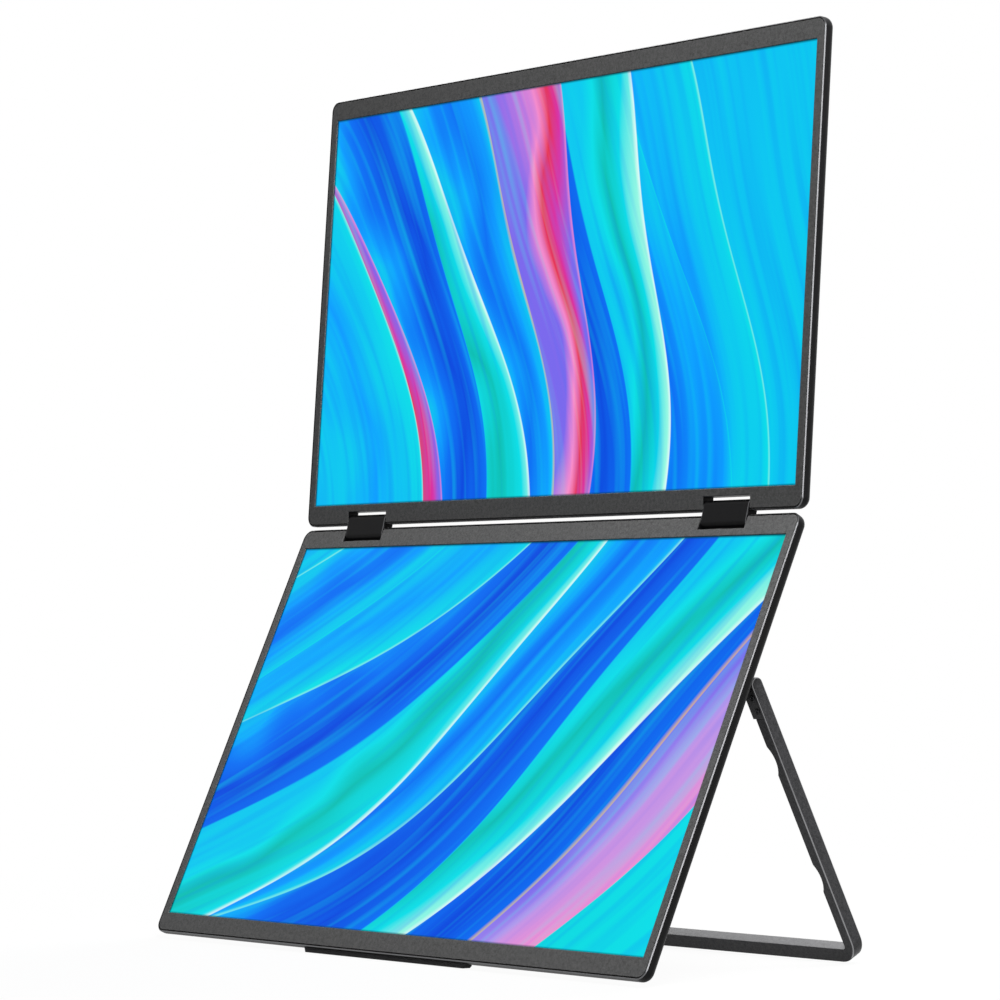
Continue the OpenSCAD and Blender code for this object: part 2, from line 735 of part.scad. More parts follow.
module speaker_boxes() color([0.1, 0.1, 0.1]) at_lower() both_sides() difference() {
    block([speaker_x - speaker_w / 2, speaker_x + speaker_w / 2], speaker_box_y,
        [speaker_mid_z - speaker_h / 2, speaker_mid_z + speaker_h / 2]);
    block([speaker_x - speaker_w / 2 + 4, speaker_x + speaker_w / 2 - 4],
        [cone_y[0], housing_inside], cone_z);
}

module speaker_cones() color([0.25, 0.25, 0.26]) at_lower() both_sides()
    translate([speaker_x, 0, 0]) slab(speaker_w / 2 - 4, cone_y, cone_z, 4.5);

// ---------------------------------------------------------------- controls

// A push button drawn for the right side
module push_button(z) {
    inner_x = housing_x - housing_wall;
    slot_x([inner_x - 0.6, housing_x + 0.7], socket_y, z, button_w, button_h);
    slot_x([inner_x - 1, inner_x - 0.2], socket_y, z, button_w + 1.4, button_h + 1);
    rod_x([nub_x + 0.05 + button_travel, inner_x - 0.6], socket_y, z, 1.4);
}

module power_button() color([0.35, 0.35, 0.36]) at_lower() mirror([1, 0, 0])
    push_button(controls_z + control_pitch);

module mode_button() color([0.35, 0.35, 0.36]) at_lower() mirror([1, 0, 0])
    push_button(controls_z - control_pitch);

rocker_pin_x = housing_x - housing_wall - 3.4;
rocker_y = [board_back + 0.25, socket_y + button_h / 2];
// Gap between the rocker and its switches, just over its travel there
rocker_gap = 0.3;

module menu_rocker() color([0.35, 0.35, 0.36]) at_lower() mirror([1, 0, 0]) difference() {
    inner_x = housing_x - housing_wall;
    union() {
        slot_x([inner_x - 1, housing_x + 0.7], socket_y, controls_z, rocker_w, button_h);
        slot_x([nub_x + rocker_gap, inner_x - 0.6], socket_y, controls_z, rocker_w + 1.2, button_h + 0.4);
        block([rocker_pin_x - 1.2, inner_x - 1], rocker_y, [controls_z - 1.6, controls_z + 1.6]);
    }
    rod_y(rocker_pin_x, [rocker_y[0] - cut, rocker_y[1] + cut], controls_z, rocker_pin_d + 2 * running);
}

module rocker_pin() color([0.7, 0.7, 0.72]) at_lower() mirror([1, 0, 0])
    rod_y(rocker_pin_x, [board_back, rocker_y[1] + 0.4], controls_z, rocker_pin_d);

// ---------------------------------------------------------------- link cable

// Points of the cable between the screens, by hand, beside the left hinge
cable_lane_x = -notch_outer_x - 4.9;
cable_gap = 0.2;
cable_lane_y = (module_back + back_inside) / 2;
cable_start = [
    [-block_outer_x - cable_gap - cable_d / 2, axis_depth, -axis_in],
    [cable_lane_x, axis_depth, -axis_in],
    [cable_lane_x, cable_lane_y, -axis_in - 3.6]
];

module lower_link_cable() color([0.05, 0.05, 0.05]) at_lower()
    cable(concat(cable_start, [
        [cable_lane_x, cable_lane_y, -14],
        [cable_window[0] - 1, cable_lane_y, -24],
        [(cable_window[0] + cable_window[1]) / 2, cable_lane_y, cable_window[3] - 3],
        [(cable_window[0] + cable_window[1]) / 2, board_back + 0.8, cable_window[2] + 1],
        [(cable_window[0] + cable_window[1]) / 2, board_back + 0.8, control_z[1] - 6]
    ]), cable_d);

module upper_link_cable() color([0.05, 0.05, 0.05]) at_upper()
    cable(concat(cable_start, [
        [cable_lane_x, cable_lane_y, -38],
        [driver_x[0] - 0.9, cable_lane_y, -38]
    ]), cable_d);

// ---------------------------------------------------------------- hinge blocks

// A stadium outline around both shafts, drawn in the YZ plane and extended in X
module stadium(x, r) {
    rod_x(x, 0, 0, 2 * r);
    rod_x(x, 0, axis_pitch, 2 * r);
    block(x, [-r, r], [0, axis_pitch]);
}

// A closed cover with bores for both shafts on its inner end
module hinge_cover(side) color([0.1, 0.1, 0.1]) at_hinge() on_side(side) difference() {
    cover_x = [block_inner_x, block_outer_x];
    stadium(cover_x, block_r);
    stadium([cover_x[0] + 1, cover_x[1] - 1], block_r - block_wall);
    for (z = [0, axis_pitch]) {
        rod_x([cover_x[0] - cut, cover_x[0] + 1 + cut], 0, z, shaft_d + 2 * running);
        if (side == "left") rod_x([cover_x[1] - 1 - cut, cover_x[1] + cut], 0, z, cable_d + 0.2);
    }
}

// Place of the first friction plate and distance between plates
plate_first = 1.6;
plate_pitch = 2.8;

// Plates that clamp the two shafts and hold the screens where they are put
module hinge_friction_plates() color([0.6, 0.6, 0.62]) at_hinge() both_sides()
    for (i = [0:plate_count - 1]) {
        plate_x = block_inner_x + plate_first + plate_pitch * i;
        difference() {
            stadium([plate_x, plate_x + plate_t], block_r - block_wall);
            for (z = [0, axis_pitch])
                rod_x([plate_x - cut, plate_x + plate_t + cut], 0, z, shaft_d + 2 * running);
        }
    }

// The link cable's crossing from one shaft's line to the other
module hinge_link_cable() color([0.05, 0.05, 0.05]) at_hinge() {
    end_x = -block_outer_x + cable_d / 2;
    turn_x = end_x + 4;
    cable([
        [end_x, 0, 0], [turn_x, 0, 0], [turn_x + 1.6, 0, 1.6],
        [turn_x + 1.6, 0, axis_pitch - 1.6], [turn_x, 0, axis_pitch], [end_x, 0, axis_pitch]
    ], cable_d);
}

// ---------------------------------------------------------------- upper screen

driver_w = 120;
driver_h = 30;
driver_chip_w = 12;
driver_t = 0.8;
driver_x = [-driver_w / 2, driver_w / 2];
driver_z = [-25 - driver_h, -25];

module upper_rear_shell() color([0.16, 0.16, 0.17]) at_upper() screen_shell();

module upper_front_bezel() color([0.27, 0.27, 0.27]) at_upper() screen_bezel();

module upper_display_glass() color([0.1, 0.62, 0.85]) at_upper() screen_glass();

module upper_backlight() color([0.75, 0.76, 0.78]) at_upper() screen_backlight();

module upper_hinge_leaf(side) color([0.62, 0.63, 0.65]) at_upper() on_side(side) hinge_leaf();

module upper_hinge_shafts() color([0.72, 0.73, 0.75]) at_upper() both_sides() hinge_shaft();

module upper_leaf_screws() color([0.5, 0.5, 0.52]) at_upper() leaf_screws();

module upper_driver_board() color([0.05, 0.3, 0.18]) at_upper()
    block(driver_x, [back_inside - driver_t, back_inside], driver_z);

module upper_driver_chips() color([0.07, 0.07, 0.08]) at_upper() {
    mid_z = (driver_z[0] + driver_z[1]) / 2;
    for (i = [-1, 0, 1])
        block([i * driver_w / 3 - driver_chip_w / 2, i * driver_w / 3 + driver_chip_w / 2],
            [module_back + 0.3, back_inside - driver_t],
            [mid_z - driver_chip_w / 2, mid_z + driver_chip_w / 2]);
}

// ---------------------------------------------------------------- kickstand

leg_inner_x = stand_w / 2 - leg_w;

// The hoop's outline, legs up to the pivot
module hoop_outline() {
    difference() {
        union() {
            translate([-stand_w / 2, -stand_len + hoop_r]) square([stand_w, stand_len - hoop_r]);
            translate([-stand_w / 2 + hoop_r, -stand_len]) square([stand_w - 2 * hoop_r, hoop_r + cut]);
            for (x = [-1, 1]) translate([x * (stand_w / 2 - hoop_r), -stand_len + hoop_r]) circle(hoop_r);
        }
        translate([-leg_inner_x, -stand_len + bar_h + hoop_inner_r])
            square([2 * leg_inner_x, stand_len]);
        translate([-leg_inner_x + hoop_inner_r, -stand_len + bar_h])
            square([2 * (leg_inner_x - hoop_inner_r), stand_len]);
        for (x = [-1, 1]) translate([x * (leg_inner_x - hoop_inner_r), -stand_len + bar_h + hoop_inner_r])
            circle(hoop_inner_r);
        for (x = [-1, 1], s = reliefs) translate([x * (leg_inner_x + relief_d - relief_r), -s])
            circle(relief_r);
    }
}

// Places of the leaf screws along a leg
leaf_len = 15;
stand_screw_s = [5, 11.5];
stand_screw_x = leg_inner_x + 2.6;
stand_leaf_t = 1;

module stand_hoop() color([0.25, 0.25, 0.25]) at_stand() {
    difference() {
        union() {
            translate([0, leg_t / 2, 0]) rotate([90, 0, 0]) linear_extrude(leg_t) hoop_outline();
            both_sides() rod_x([leg_inner_x, stand_w / 2], 0, 0, leg_t);
        }
        both_sides() {
            // Seat of the hinge leaf
            block([leg_inner_x - cut, stand_w / 2 - 0.9], [-leg_t / 2 - cut, -leg_t / 2 + stand_leaf_t],
                [-leaf_len - 0.2, leg_t]);
            for (s = stand_screw_s)
                rod_y(stand_screw_x, [-leg_t / 2, leg_t / 2 - 1.4], -s, screw_hole_d);
        }
        // Chamfer along the crossbar's lower back edge
        translate([0, leg_t / 2, -stand_len]) rotate([45, 0, 0])
            cube([stand_w + cut, hoop_chamfer * sqrt(2), hoop_chamfer * sqrt(2)], center = true);
        // Groove of the pad
        block([-pad_w / 2, pad_w / 2], [-pad_t / 2, pad_t / 2], [-stand_len - cut, -stand_len + pad_in]);
    }
}

// Steel leaf on the leg's front, with a cheek and the shaft that turns in its bracket
module stand_leaf(side) color([0.2, 0.2, 0.21]) at_stand() on_side(side) difference() {
    cheek = [cheek_x, cheek_x + cheek_t];
    union() {
        block([cheek[0], stand_w / 2 - 1], [-leg_t / 2, -leg_t / 2 + stand_leaf_t], [-leaf_len, -1]);
        block(cheek, [-leg_t / 2, 0], [-8, 0]);
        rod_x(cheek, 0, 0, leg_t);
        rod_x([bracket_x - 0.6, cheek[1]], 0, 0, pivot_d);
    }
    for (s = stand_screw_s)
        rod_y(stand_screw_x, [-leg_t / 2 - cut, 0], -s, screw_d + 0.3);
}

module stand_leaf_screws() color([0.55, 0.55, 0.57]) at_stand() both_sides()
    for (s = stand_screw_s) screw_y(stand_screw_x, -s, -leg_t / 2 - 0.4, 2.8, 0.4, 4, 1);

module stand_pad() color([0.07, 0.07, 0.07]) at_stand()
    block([-pad_w / 2, pad_w / 2], [-pad_t / 2, pad_t / 2], [-stand_len - pad_out, -stand_len + pad_in]);

// Steel bearing of the kickstand's shaft, screwed to the lower shell
module stand_bracket(side) color([0.6, 0.6, 0.62]) at_lower() on_side(side) {
    bracket = [bracket_x, bracket_x + bracket_w];
    difference() {
        union() {
            block(bracket, [panel_t, panel_t + bracket_plate_t],
                [-pivot_down - bracket_h / 2, -pivot_down + bracket_h / 2]);
            block(bracket, [panel_t, pivot_y], [-pivot_down - 2.3, -pivot_down + 2.3]);
            rod_x(bracket, pivot_y, -pivot_down, 4.6);
        }
        rod_x([bracket[0] - cut, bracket[1] + cut], pivot_y, -pivot_down, pivot_d + 2 * running);
        for (z = bracket_screws)
            rod_y(bracket_screw_x, [panel_t - cut, panel_t + bracket_plate_t + cut], z, screw_d + 0.4);
    }
}

module stand_bracket_screws() color([0.66, 0.66, 0.68]) at_lower() both_sides()
    for (z = bracket_screws)
        screw_y(bracket_screw_x, z, panel_t + bracket_plate_t + 0.8, 3.2, 0.8, bracket_plate_t + 1.4, -1);

// ---------------------------------------------------------------- assembly

lower_rear_shell();
lower_front_bezel();
lower_display_glass();
lower_backlight();
lower_hinge_leaf("left");  // lower_hinge_leaf_left
lower_hinge_leaf("right");  // lower_hinge_leaf_right
lower_hinge_shafts();
lower_leaf_screws();
foot_strip();
rear_housing();
housing_screws();
main_board();
main_board_chips();
board_screws();
control_board();
control_switches();
board_ribbon();
display_ribbon();
usb_c_sockets();
mini_hdmi_socket();
socket_tongues();
speaker_boxes();
speaker_cones();
stand_bracket("left");  // stand_bracket_left
stand_bracket("right");  // stand_bracket_right
stand_bracket_screws();
lower_link_cable();
rocker_pin();
hinge_cover("left");  // hinge_cover_left
hinge_cover("right");  // hinge_cover_right
hinge_friction_plates();
hinge_link_cable();
upper_rear_shell();
upper_front_bezel();
upper_display_glass();
upper_backlight();
upper_hinge_leaf("left");  // upper_hinge_leaf_left
upper_hinge_leaf("right");  // upper_hinge_leaf_right
upper_hinge_shafts();
upper_leaf_screws();
upper_driver_board();
upper_driver_chips();
upper_link_cable();
stand_hoop();
stand_leaf("left");  // stand_leaf_left
stand_leaf("right");  // stand_leaf_right
stand_leaf_screws();
stand_pad();
power_button();
mode_button();
menu_rocker();
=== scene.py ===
"""Laptop screen extender: finishes, detailed pieces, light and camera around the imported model.

Two equal portable screens, one above the other, are joined by a pair of hinge blocks. The lower one
stands on a rubber foot and a hoop kickstand. Every object is in metres in the model's own frame: +Z is
up, the pictures face -Y and the origin is on the desk. Shapes are drawn in millimetres in the frame of
the sub-assembly that they belong to, and are put in their place when they are finished.
"""
from __future__ import annotations

import json
import logging
import math
from dataclasses import dataclass
from enum import Enum
from typing import Callable, Iterable, Sequence

import bmesh
import bpy
from bmesh.types import BMEdge, BMFace, BMVert
from bpy.types import Material, NodeSocket, Object
from mathutils import Euler, Matrix, Vector

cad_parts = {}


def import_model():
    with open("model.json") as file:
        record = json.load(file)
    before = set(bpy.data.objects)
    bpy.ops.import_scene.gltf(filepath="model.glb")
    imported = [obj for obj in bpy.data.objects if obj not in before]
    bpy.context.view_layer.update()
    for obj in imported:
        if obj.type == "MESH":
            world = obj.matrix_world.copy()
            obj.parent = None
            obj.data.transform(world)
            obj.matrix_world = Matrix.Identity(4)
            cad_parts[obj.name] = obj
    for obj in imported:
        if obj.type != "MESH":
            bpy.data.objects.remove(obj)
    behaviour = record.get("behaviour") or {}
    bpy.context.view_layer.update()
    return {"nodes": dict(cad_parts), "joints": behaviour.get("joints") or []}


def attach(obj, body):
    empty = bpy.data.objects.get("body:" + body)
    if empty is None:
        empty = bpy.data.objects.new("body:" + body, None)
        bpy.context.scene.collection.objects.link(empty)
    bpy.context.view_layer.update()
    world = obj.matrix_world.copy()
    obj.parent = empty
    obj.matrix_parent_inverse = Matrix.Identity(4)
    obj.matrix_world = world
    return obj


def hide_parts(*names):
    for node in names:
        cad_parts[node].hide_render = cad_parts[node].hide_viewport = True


LOG = logging.getLogger("screen_extender")
MM = 0.001  # a millimetre, in metres
TOUCH = 0.01  # a point this near to a plane lies on it, in millimetres
MERGE = 0.002  # points this near to each other are one, in millimetres
FLAT = math.radians(0.4)  # faces that meet at a smaller angle are one flat face
ON_CUT = 1e-5  # points this near to a cut lie on it, in millimetres
SHARP = 38.0  # edges of more degrees are shaded as sharp
CORNER_STEPS = 10  # segments of a plate's rounded corner
PLAIN_WHITE = (1.0, 1.0, 1.0)
HIGHLIGHT_TRIM, FACING = 1, 2  # material numbers of faces that are marked as trim, lighter as a painted highlight, and as facing
X, Y, Z = 0, 1, 2
Pair = tuple[float, float]
Triple = tuple[float, float, float]
Colour = Triple


class Body(Enum):
    """The moving bodies that pieces ride on."""

    LOWER = "lower_screen"
    BLOCKS = "hinge_blocks"
    UPPER = "upper_screen"
    STAND = "kickstand"
    POWER = "power_button"
    MODE = "mode_button"
    ROCKER = "menu_rocker"


class Slot(Enum):
    """Names of material slots listed with the new pieces; nothing reads them."""

    SHELL = "shell_black"
    BEZEL = "bezel_grey"
    HINGE = "hinge_cover_black"
    RUBBER = "rubber_black"
    STAND = "stand_metal"
    LEAF = "stand_leaf_black"
    HOUSING_SCREW = "black_screws"
    LEAF_SCREW = "stand_screw_steel"
    BUTTON = "button_black"


def rgb(red: float, green: float, blue: float) -> Colour:
    """Linear red, green and blue from 0 to 1 of a display colour from 0 to 255."""
    parts = (red / 255, green / 255, blue / 255)
    return tuple(c / 12.92 if c <= 0.04045 else ((c + 0.055) / 1.055) ** 2.4 for c in parts)


def scaled(colour: Colour, factor: float) -> Colour:
    """A linear colour made lighter or darker by a factor."""
    return tuple(min(1.0, part * factor) for part in colour)


# ---- frames


@dataclass(frozen=True)
class Place:
    """A sub-assembly's own frame in millimetres."""

    matrix: Matrix  # takes millimetres in that frame to metres in the model's frame
    tilt: float  # turn of the frame about the model's X axis, in radians

    def mirrored_in_z(self) -> Place:
        """The same frame with its Z axis turned over, for a part drawn upside down."""
        return Place(self.matrix @ Matrix.Diagonal((1, 1, -1, 1)), self.tilt)

    def is_mirrored(self) -> bool:
        """Whether the frame turns shapes inside out."""
        return self.matrix.determinant() < 0

    def box(self, node: Object) -> tuple[Vector, Vector]:
        """Corners of a model part in this frame.

        Args:
            node: The part.

        Returns:
            Its lowest and its highest corner, in millimetres.
        """
        back = self.matrix.inverted()
        points = [back @ vertex.co for vertex in node.data.vertices]
        low = Vector(min(point[axis] for point in points) for axis in range(3))
        high = Vector(max(point[axis] for point in points) for axis in range(3))
        return low, high


def turned_place(origin: Vector, tilt: float, offset: Triple = (0, 0, 0)) -> Place:
    """A frame turned about X at a joint in metres, then moved by an offset in millimetres."""
    turn = Matrix.Translation(origin) @ Matrix.Rotation(tilt, 4, "X")
    return Place(turn @ Matrix.Scale(MM, 4) @ Matrix.Translation(offset), tilt)


@dataclass
class Frames:
    """The frames of the sub-assemblies, worked out from the model's joints."""

    joints: Sequence[dict]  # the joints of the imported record
    shaft_depth: float = 2.9  # depth of a hinge shaft behind a screen's front, in millimetres
    shaft_in: float = 2.4  # distance of a hinge shaft from its screen's edge, in millimetres

    def __post_init__(self) -> None:
        """Works out every frame once."""
        joints = {joint["name"]: joint for joint in self.joints}
        lower_at, upper_at, stand_at = (Vector(joints[name]["pos_m"])
                                        for name in ("lower_axis", "upper_axis", "stand_pivot"))
        rocker_axis = Vector(joints["rocker_tilt"]["axis"])
        lean = math.atan2(-rocker_axis.z, rocker_axis.y)
        link = upper_at - lower_at
        block_tilt = math.atan2(-link.y, link.z)
        upper_tilt = 2 * block_tilt + lean
        stand_open = -math.radians(joints["stand_pivot"]["range_deg"][0])
        self.lower = turned_place(lower_at, -lean, (0, -self.shaft_depth, self.shaft_in))
        self.blocks = turned_place(lower_at, block_tilt)
        self.upper = turned_place(upper_at, upper_tilt, (0, -self.shaft_depth, -self.shaft_in))
        self.stand = turned_place(stand_at, stand_open - lean)


# ---- materials


class Tree:
    """The node tree of a material or of the world, built node by node."""

    def __init__(self, owner: Material | bpy.types.World) -> None:
        """Empties a tree.

        Args:
            owner: The material or world that it belongs to.
        """
        owner.use_nodes = True
        self.nodes, self.links = owner.node_tree.nodes, owner.node_tree.links
        self.nodes.clear()

    def add(self, kind: str, inputs: dict | None = None, **settings: object) -> bpy.types.Node:
        """Adds one node.

        Args:
            kind: The node's type.
            inputs: Values or sockets for its inputs, by name or number.
            **settings: Properties of the node.

        Returns:
            The node.
        """
        node = self.nodes.new(kind)
        for key, value in settings.items():
            setattr(node, key, value)
        for key, value in (inputs or {}).items():
            self.feed(node.inputs[key], value)
        return node

    def feed(self, socket: NodeSocket, value: object) -> None:
        """Links a socket to another one, or sets its value.

        Args:
            socket: The socket.
            value: The other socket, or the value.
        """
        if isinstance(value, NodeSocket):
            self.links.new(value, socket)
        elif isinstance(value, tuple) and socket.type == "RGBA":
            socket.default_value = (*value, 1.0)
        else:
            socket.default_value = value

    def maths(self, operation: str, *values: object, clamp: bool = False) -> NodeSocket:
        """The result of one of Blender's operations on values, kept from 0 to 1 where it is clamped."""
        inputs = dict(enumerate(values))
        return self.add("ShaderNodeMath", inputs, operation=operation, use_clamp=clamp).outputs[0]

    def total(self, first: object, second: object) -> NodeSocket:
        """The sum of two values."""
        return self.maths("ADD", first, second)

    def times(self, first: object, second: object) -> NodeSocket:
        """The product of two values."""
        return self.maths("MULTIPLY", first, second)

    def share(self, value: object, whole: object) -> NodeSocket:
        """A value as a share of another one, kept from 0 to 1."""
        return self.maths("DIVIDE", value, whole, clamp=True)

    def looked_at(self) -> NodeSocket:
        """Finds out what looks at the surface.

        Returns:
            A socket that is 1 for camera, glossy and transmission rays and 0 for others.
        """
        rays = self.add("ShaderNodeLightPath").outputs
        seen = self.maths("MAXIMUM", rays["Is Camera Ray"], rays["Is Glossy Ray"])
        return self.maths("MAXIMUM", seen, rays["Is Transmission Ray"])


class Graph(Tree):
    """The node tree of one material, built round a Principled shader."""

    def __init__(self, name: str) -> None:
        """Starts a material.

        Args:
            name: Name of the material.
        """
        self.material = bpy.data.materials.new(name)
        super().__init__(self.material)
        self.shader = self.add("ShaderNodeBsdfPrincipled")
        self.output = self.add("ShaderNodeOutputMaterial", {"Surface": self.shader.outputs[0]})
        self.place = self.add("ShaderNodeTexCoord").outputs["Object"]

    def surface(self, **inputs: object) -> None:
        """Sets the shader's own sockets, named with underscores for spaces."""
        for key, value in inputs.items():
            self.feed(self.shader.inputs[key.replace("_", " ")], value)

    def noise(self, size: float, detail: float = 2.0, vector: object = None) -> NodeSocket:
        """Noise of a size in millimetres, as a value from 0 to 1."""
        inputs = {"Scale": 1 / (size * MM), "Detail": detail, "Vector": vector or self.place}
        return self.add("ShaderNodeTexNoise", inputs).outputs["Fac"]

    def levelled(self, tilt: float, centre: Sequence[float] = (0, 0, 0), unit: float = 1.0) -> NodeSocket:
        """The place on a part that leans about X, as if upright, from a centre and in a unit of metres."""
        inputs = {"Vector": self.place, "Location": centre, "Rotation": (tilt, 0, 0), "Scale": (unit,) * 3}
        return self.add("ShaderNodeMapping", inputs, vector_type="TEXTURE").outputs[0]

    def mix(self, factor: object, first: object, second: object) -> NodeSocket:
        """Mixes two colours, by the share of the second one."""
        return self.add("ShaderNodeMix", {0: factor, 6: first, 7: second}, data_type="RGBA").outputs[2]

    def ramp(self, factor: object, stops: Sequence[tuple[float, Colour]]) -> NodeSocket:
        """A colour ramp.

        Args:
            factor: Value or socket from 0 to 1.
            stops: Pairs of a place from 0 to 1 and a colour.

        Returns:
            The socket of the colour.
        """
        node = self.add("ShaderNodeValToRGB", {"Fac": factor})
        elements = node.color_ramp.elements
        while len(elements) < len(stops):
            elements.new(0.5)
        for element, (position, colour) in zip(elements, stops):
            element.position = position
            element.color = (*colour, 1.0)
        return node.outputs["Color"]

    def toned(self, tone: object, colour: Colour, contrast: float, spread: float) -> None:
        """Colours the surface by a tone near 0.5: a change of the tone by the spread gives the contrast."""
        stops = [(0.5 + side * spread, scaled(colour, 1 + side * contrast)) for side in (-1, 1)]
        self.surface(Base_Color=self.ramp(tone, stops))

    def roughened(self, tone: object, middle: float, span: float) -> None:
        """Varies the roughness over a span round its mean, by a tone from 0 to 1."""
        self.surface(Roughness=self.maths("MULTIPLY_ADD", tone, span, middle - span / 2))

    def relief(self, height: object, depth: float) -> None:
        """Bumps the surface by a height from 0 to 1, to a real depth in millimetres."""
        inputs = {"Strength": 1.0, "Distance": depth * MM, "Height": height}
        self.surface(Normal=self.add("ShaderNodeBump", inputs).outputs["Normal"])


@dataclass(frozen=True)
class MouldedPlastic:
    """Plastic with a fine spark-eroded grain."""

    name: str
    colour: Colour  # mean colour
    roughness: float = 0.5  # roughness of the surface
    specular: float = 0.3  # strength of its reflection, 0.5 for common plastic
    grain: float = 0.45  # size of the grain, in millimetres
    contrast: float = 0.25  # change of the colour in the grain, as a share
    depth: float = 0.03  # depth of the grain, in millimetres

    def make(self) -> Material:
        """Builds the material.

        Returns:
            The material.
        """
        graph = Graph(self.name)
        coarse_size, coarse_share = 3.5, 0.6
        fine, coarse = graph.noise(self.grain), graph.noise(coarse_size * self.grain)
        shade = graph.share(graph.maths("MULTIPLY_ADD", coarse, coarse_share, fine), 1 + coarse_share)
        graph.toned(shade, self.colour, self.contrast, spread=0.14)
        graph.roughened(fine, self.roughness, span=0.12)
        graph.surface(Specular_IOR_Level=self.specular)
        graph.relief(shade, self.depth)
        return graph.material


@dataclass(frozen=True)
class Metal:
    """Metal with a fine, slightly uneven surface."""

    name: str
    colour: Colour  # colour of the metal or of its coating
    roughness: float = 0.35  # mean roughness
    metallic: float = 1.0  # 1 for bare metal, less for a coating
    streak: float = 1.0  # length of the brushing along X as a multiple of its width, 1 for none
    grain: float = 0.25  # size of the marks, in millimetres

    def make(self) -> Material:
        """Builds the material.

        Returns:
            The material.
        """
        graph = Graph(self.name)
        stretch = graph.add("ShaderNodeMapping", {"Vector": graph.place, "Scale": (1 / self.streak, 1, 1)})
        marks = graph.noise(self.grain, detail=3.0, vector=stretch.outputs[0])
        cloud = graph.noise(14.0)
        tone = graph.total(graph.times(marks, 0.6), graph.times(cloud, 0.4))
        graph.toned(tone, self.colour, contrast=0.2, spread=0.2)
        graph.roughened(tone, self.roughness, span=0.2)
        graph.surface(Metallic=self.metallic)
        graph.relief(marks, depth=0.008)
        return graph.material


@dataclass(frozen=True)
class Rubber:
    """Soft matt rubber or cable sleeve with a dusty grain."""

    name: str
    colour: Colour

    def make(self) -> Material:
        """Builds the material.

        Returns:
            The material.
        """
        graph = Graph(self.name)
        grain, dust = graph.noise(0.3), graph.noise(6.0, detail=4.0)
        tone = graph.maths("MULTIPLY_ADD", dust, 0.7, graph.times(grain, 0.3))
        graph.surface(Base_Color=graph.ramp(tone, [(0.3, self.colour), (0.75, scaled(self.colour, 1.8))]),
                      Roughness=0.82, Specular_IOR_Level=0.2)
        graph.relief(grain, depth=0.03)
        return graph.material


@dataclass(frozen=True)
class PrintedBoard:
    """A circuit board with copper tracks under solder mask."""

    name: str
    tilt: float  # turn of the board's plane about X, in radians

    def make(self) -> Material:
        """Builds the material.

        Returns:
            The material.
        """
        graph = Graph(self.name)
        mask, copper = rgb(10, 92, 58), rgb(60, 140, 84)
        tracks = graph.add("ShaderNodeTexBrick", {
            "Vector": graph.levelled(self.tilt), "Scale": 180.0, "Mortar Size": 0.02,
            "Color1": (0.0, 0.0, 0.0), "Color2": (0.3, 0.3, 0.3), "Mortar": (1.0, 1.0, 1.0)}).outputs
        graph.surface(Base_Color=graph.mix(tracks["Color"], mask, copper), Roughness=0.35)
        graph.relief(tracks["Fac"], depth=0.03)
        return graph.material


@dataclass(frozen=True)
class Contacts:
    """Black insulator with gold contact strips across it."""

    name: str
    tilt: float  # turn of the part about X, in radians
    pitch: float = 0.5  # distance between contacts, in millimetres

    def make(self) -> Material:
        """Builds the material.

        Returns:
            The material.
        """
        graph = Graph(self.name)
        insulator, gold = rgb(28, 28, 30), rgb(222, 184, 92)
        along = graph.add("ShaderNodeSeparateXYZ", {0: graph.levelled(self.tilt)}).outputs["Z"]
        pitches = graph.maths("FRACT", graph.maths("DIVIDE", along, self.pitch * MM))
        strip = graph.maths("GREATER_THAN", pitches, 0.5)
        graph.surface(Base_Color=graph.mix(strip, insulator, gold), Metallic=strip, Roughness=0.35)
        return graph.material


@dataclass(frozen=True)
class Fold:
    """One silky fold of the picture: the inside of a large circle, shaded from its rim inwards."""

    centre: Pair  # middle of the circle from the middle of the picture, in millimetres
    radius: float  # radius of the circle, in millimetres
    width: float  # width of the shading inside the rim, in millimetres
    shades: tuple[tuple[float, Colour], ...]  # places from 0 at the rim to 1, with their colours
    line: Colour  # colour of the thin bright line along the rim
    line_width: float = 1.4  # mean width of that line, in millimetres


@dataclass(frozen=True)
class Design:
    """What a picture shows: silky folds that sweep across the screen."""

    ground: tuple[Colour, Colour]  # colours behind the folds, from the left to the right
    fan: Pair  # place that the threads of the silk run round, in millimetres from the middle
    folds: tuple[Fold, ...]  # the folds, from the farthest to the nearest


WHITE = rgb(240, 255, 252)
MINT = rgb(150, 248, 226)
AQUA = rgb(0, 222, 232)
TEAL = rgb(0, 190, 178)
CYAN = rgb(0, 198, 240)
AZURE = rgb(0, 160, 255)
BLUE = rgb(0, 112, 244)
DEEP = rgb(0, 72, 222)
VIOLET = rgb(124, 104, 236)
LILAC = rgb(178, 150, 236)
PINK = rgb(250, 140, 202)
MAGENTA = rgb(218, 44, 160)
RED = rgb(230, 48, 78)
GOLD = rgb(226, 182, 104)

SKY_SILK = ((0.0, AQUA), (0.2, CYAN), (0.55, AZURE), (1.0, CYAN))
BLUE_SILK = ((0.0, CYAN), (0.18, AZURE), (0.5, BLUE), (0.78, AZURE), (1.0, CYAN))
DEEP_SILK = ((0.0, BLUE), (0.3, DEEP), (0.6, BLUE), (0.85, AZURE), (1.0, CYAN))
PALE_SILK = ((0.0, MINT), (0.2, AQUA), (0.5, TEAL), (0.75, AQUA), (1.0, CYAN))
ROSE_SILK = ((0.0, VIOLET), (0.2, MAGENTA), (0.45, RED), (0.7, PINK), (1.0, VIOLET))
DUSK_SILK = ((0.0, PINK), (0.3, LILAC), (0.6, VIOLET), (1.0, AZURE))


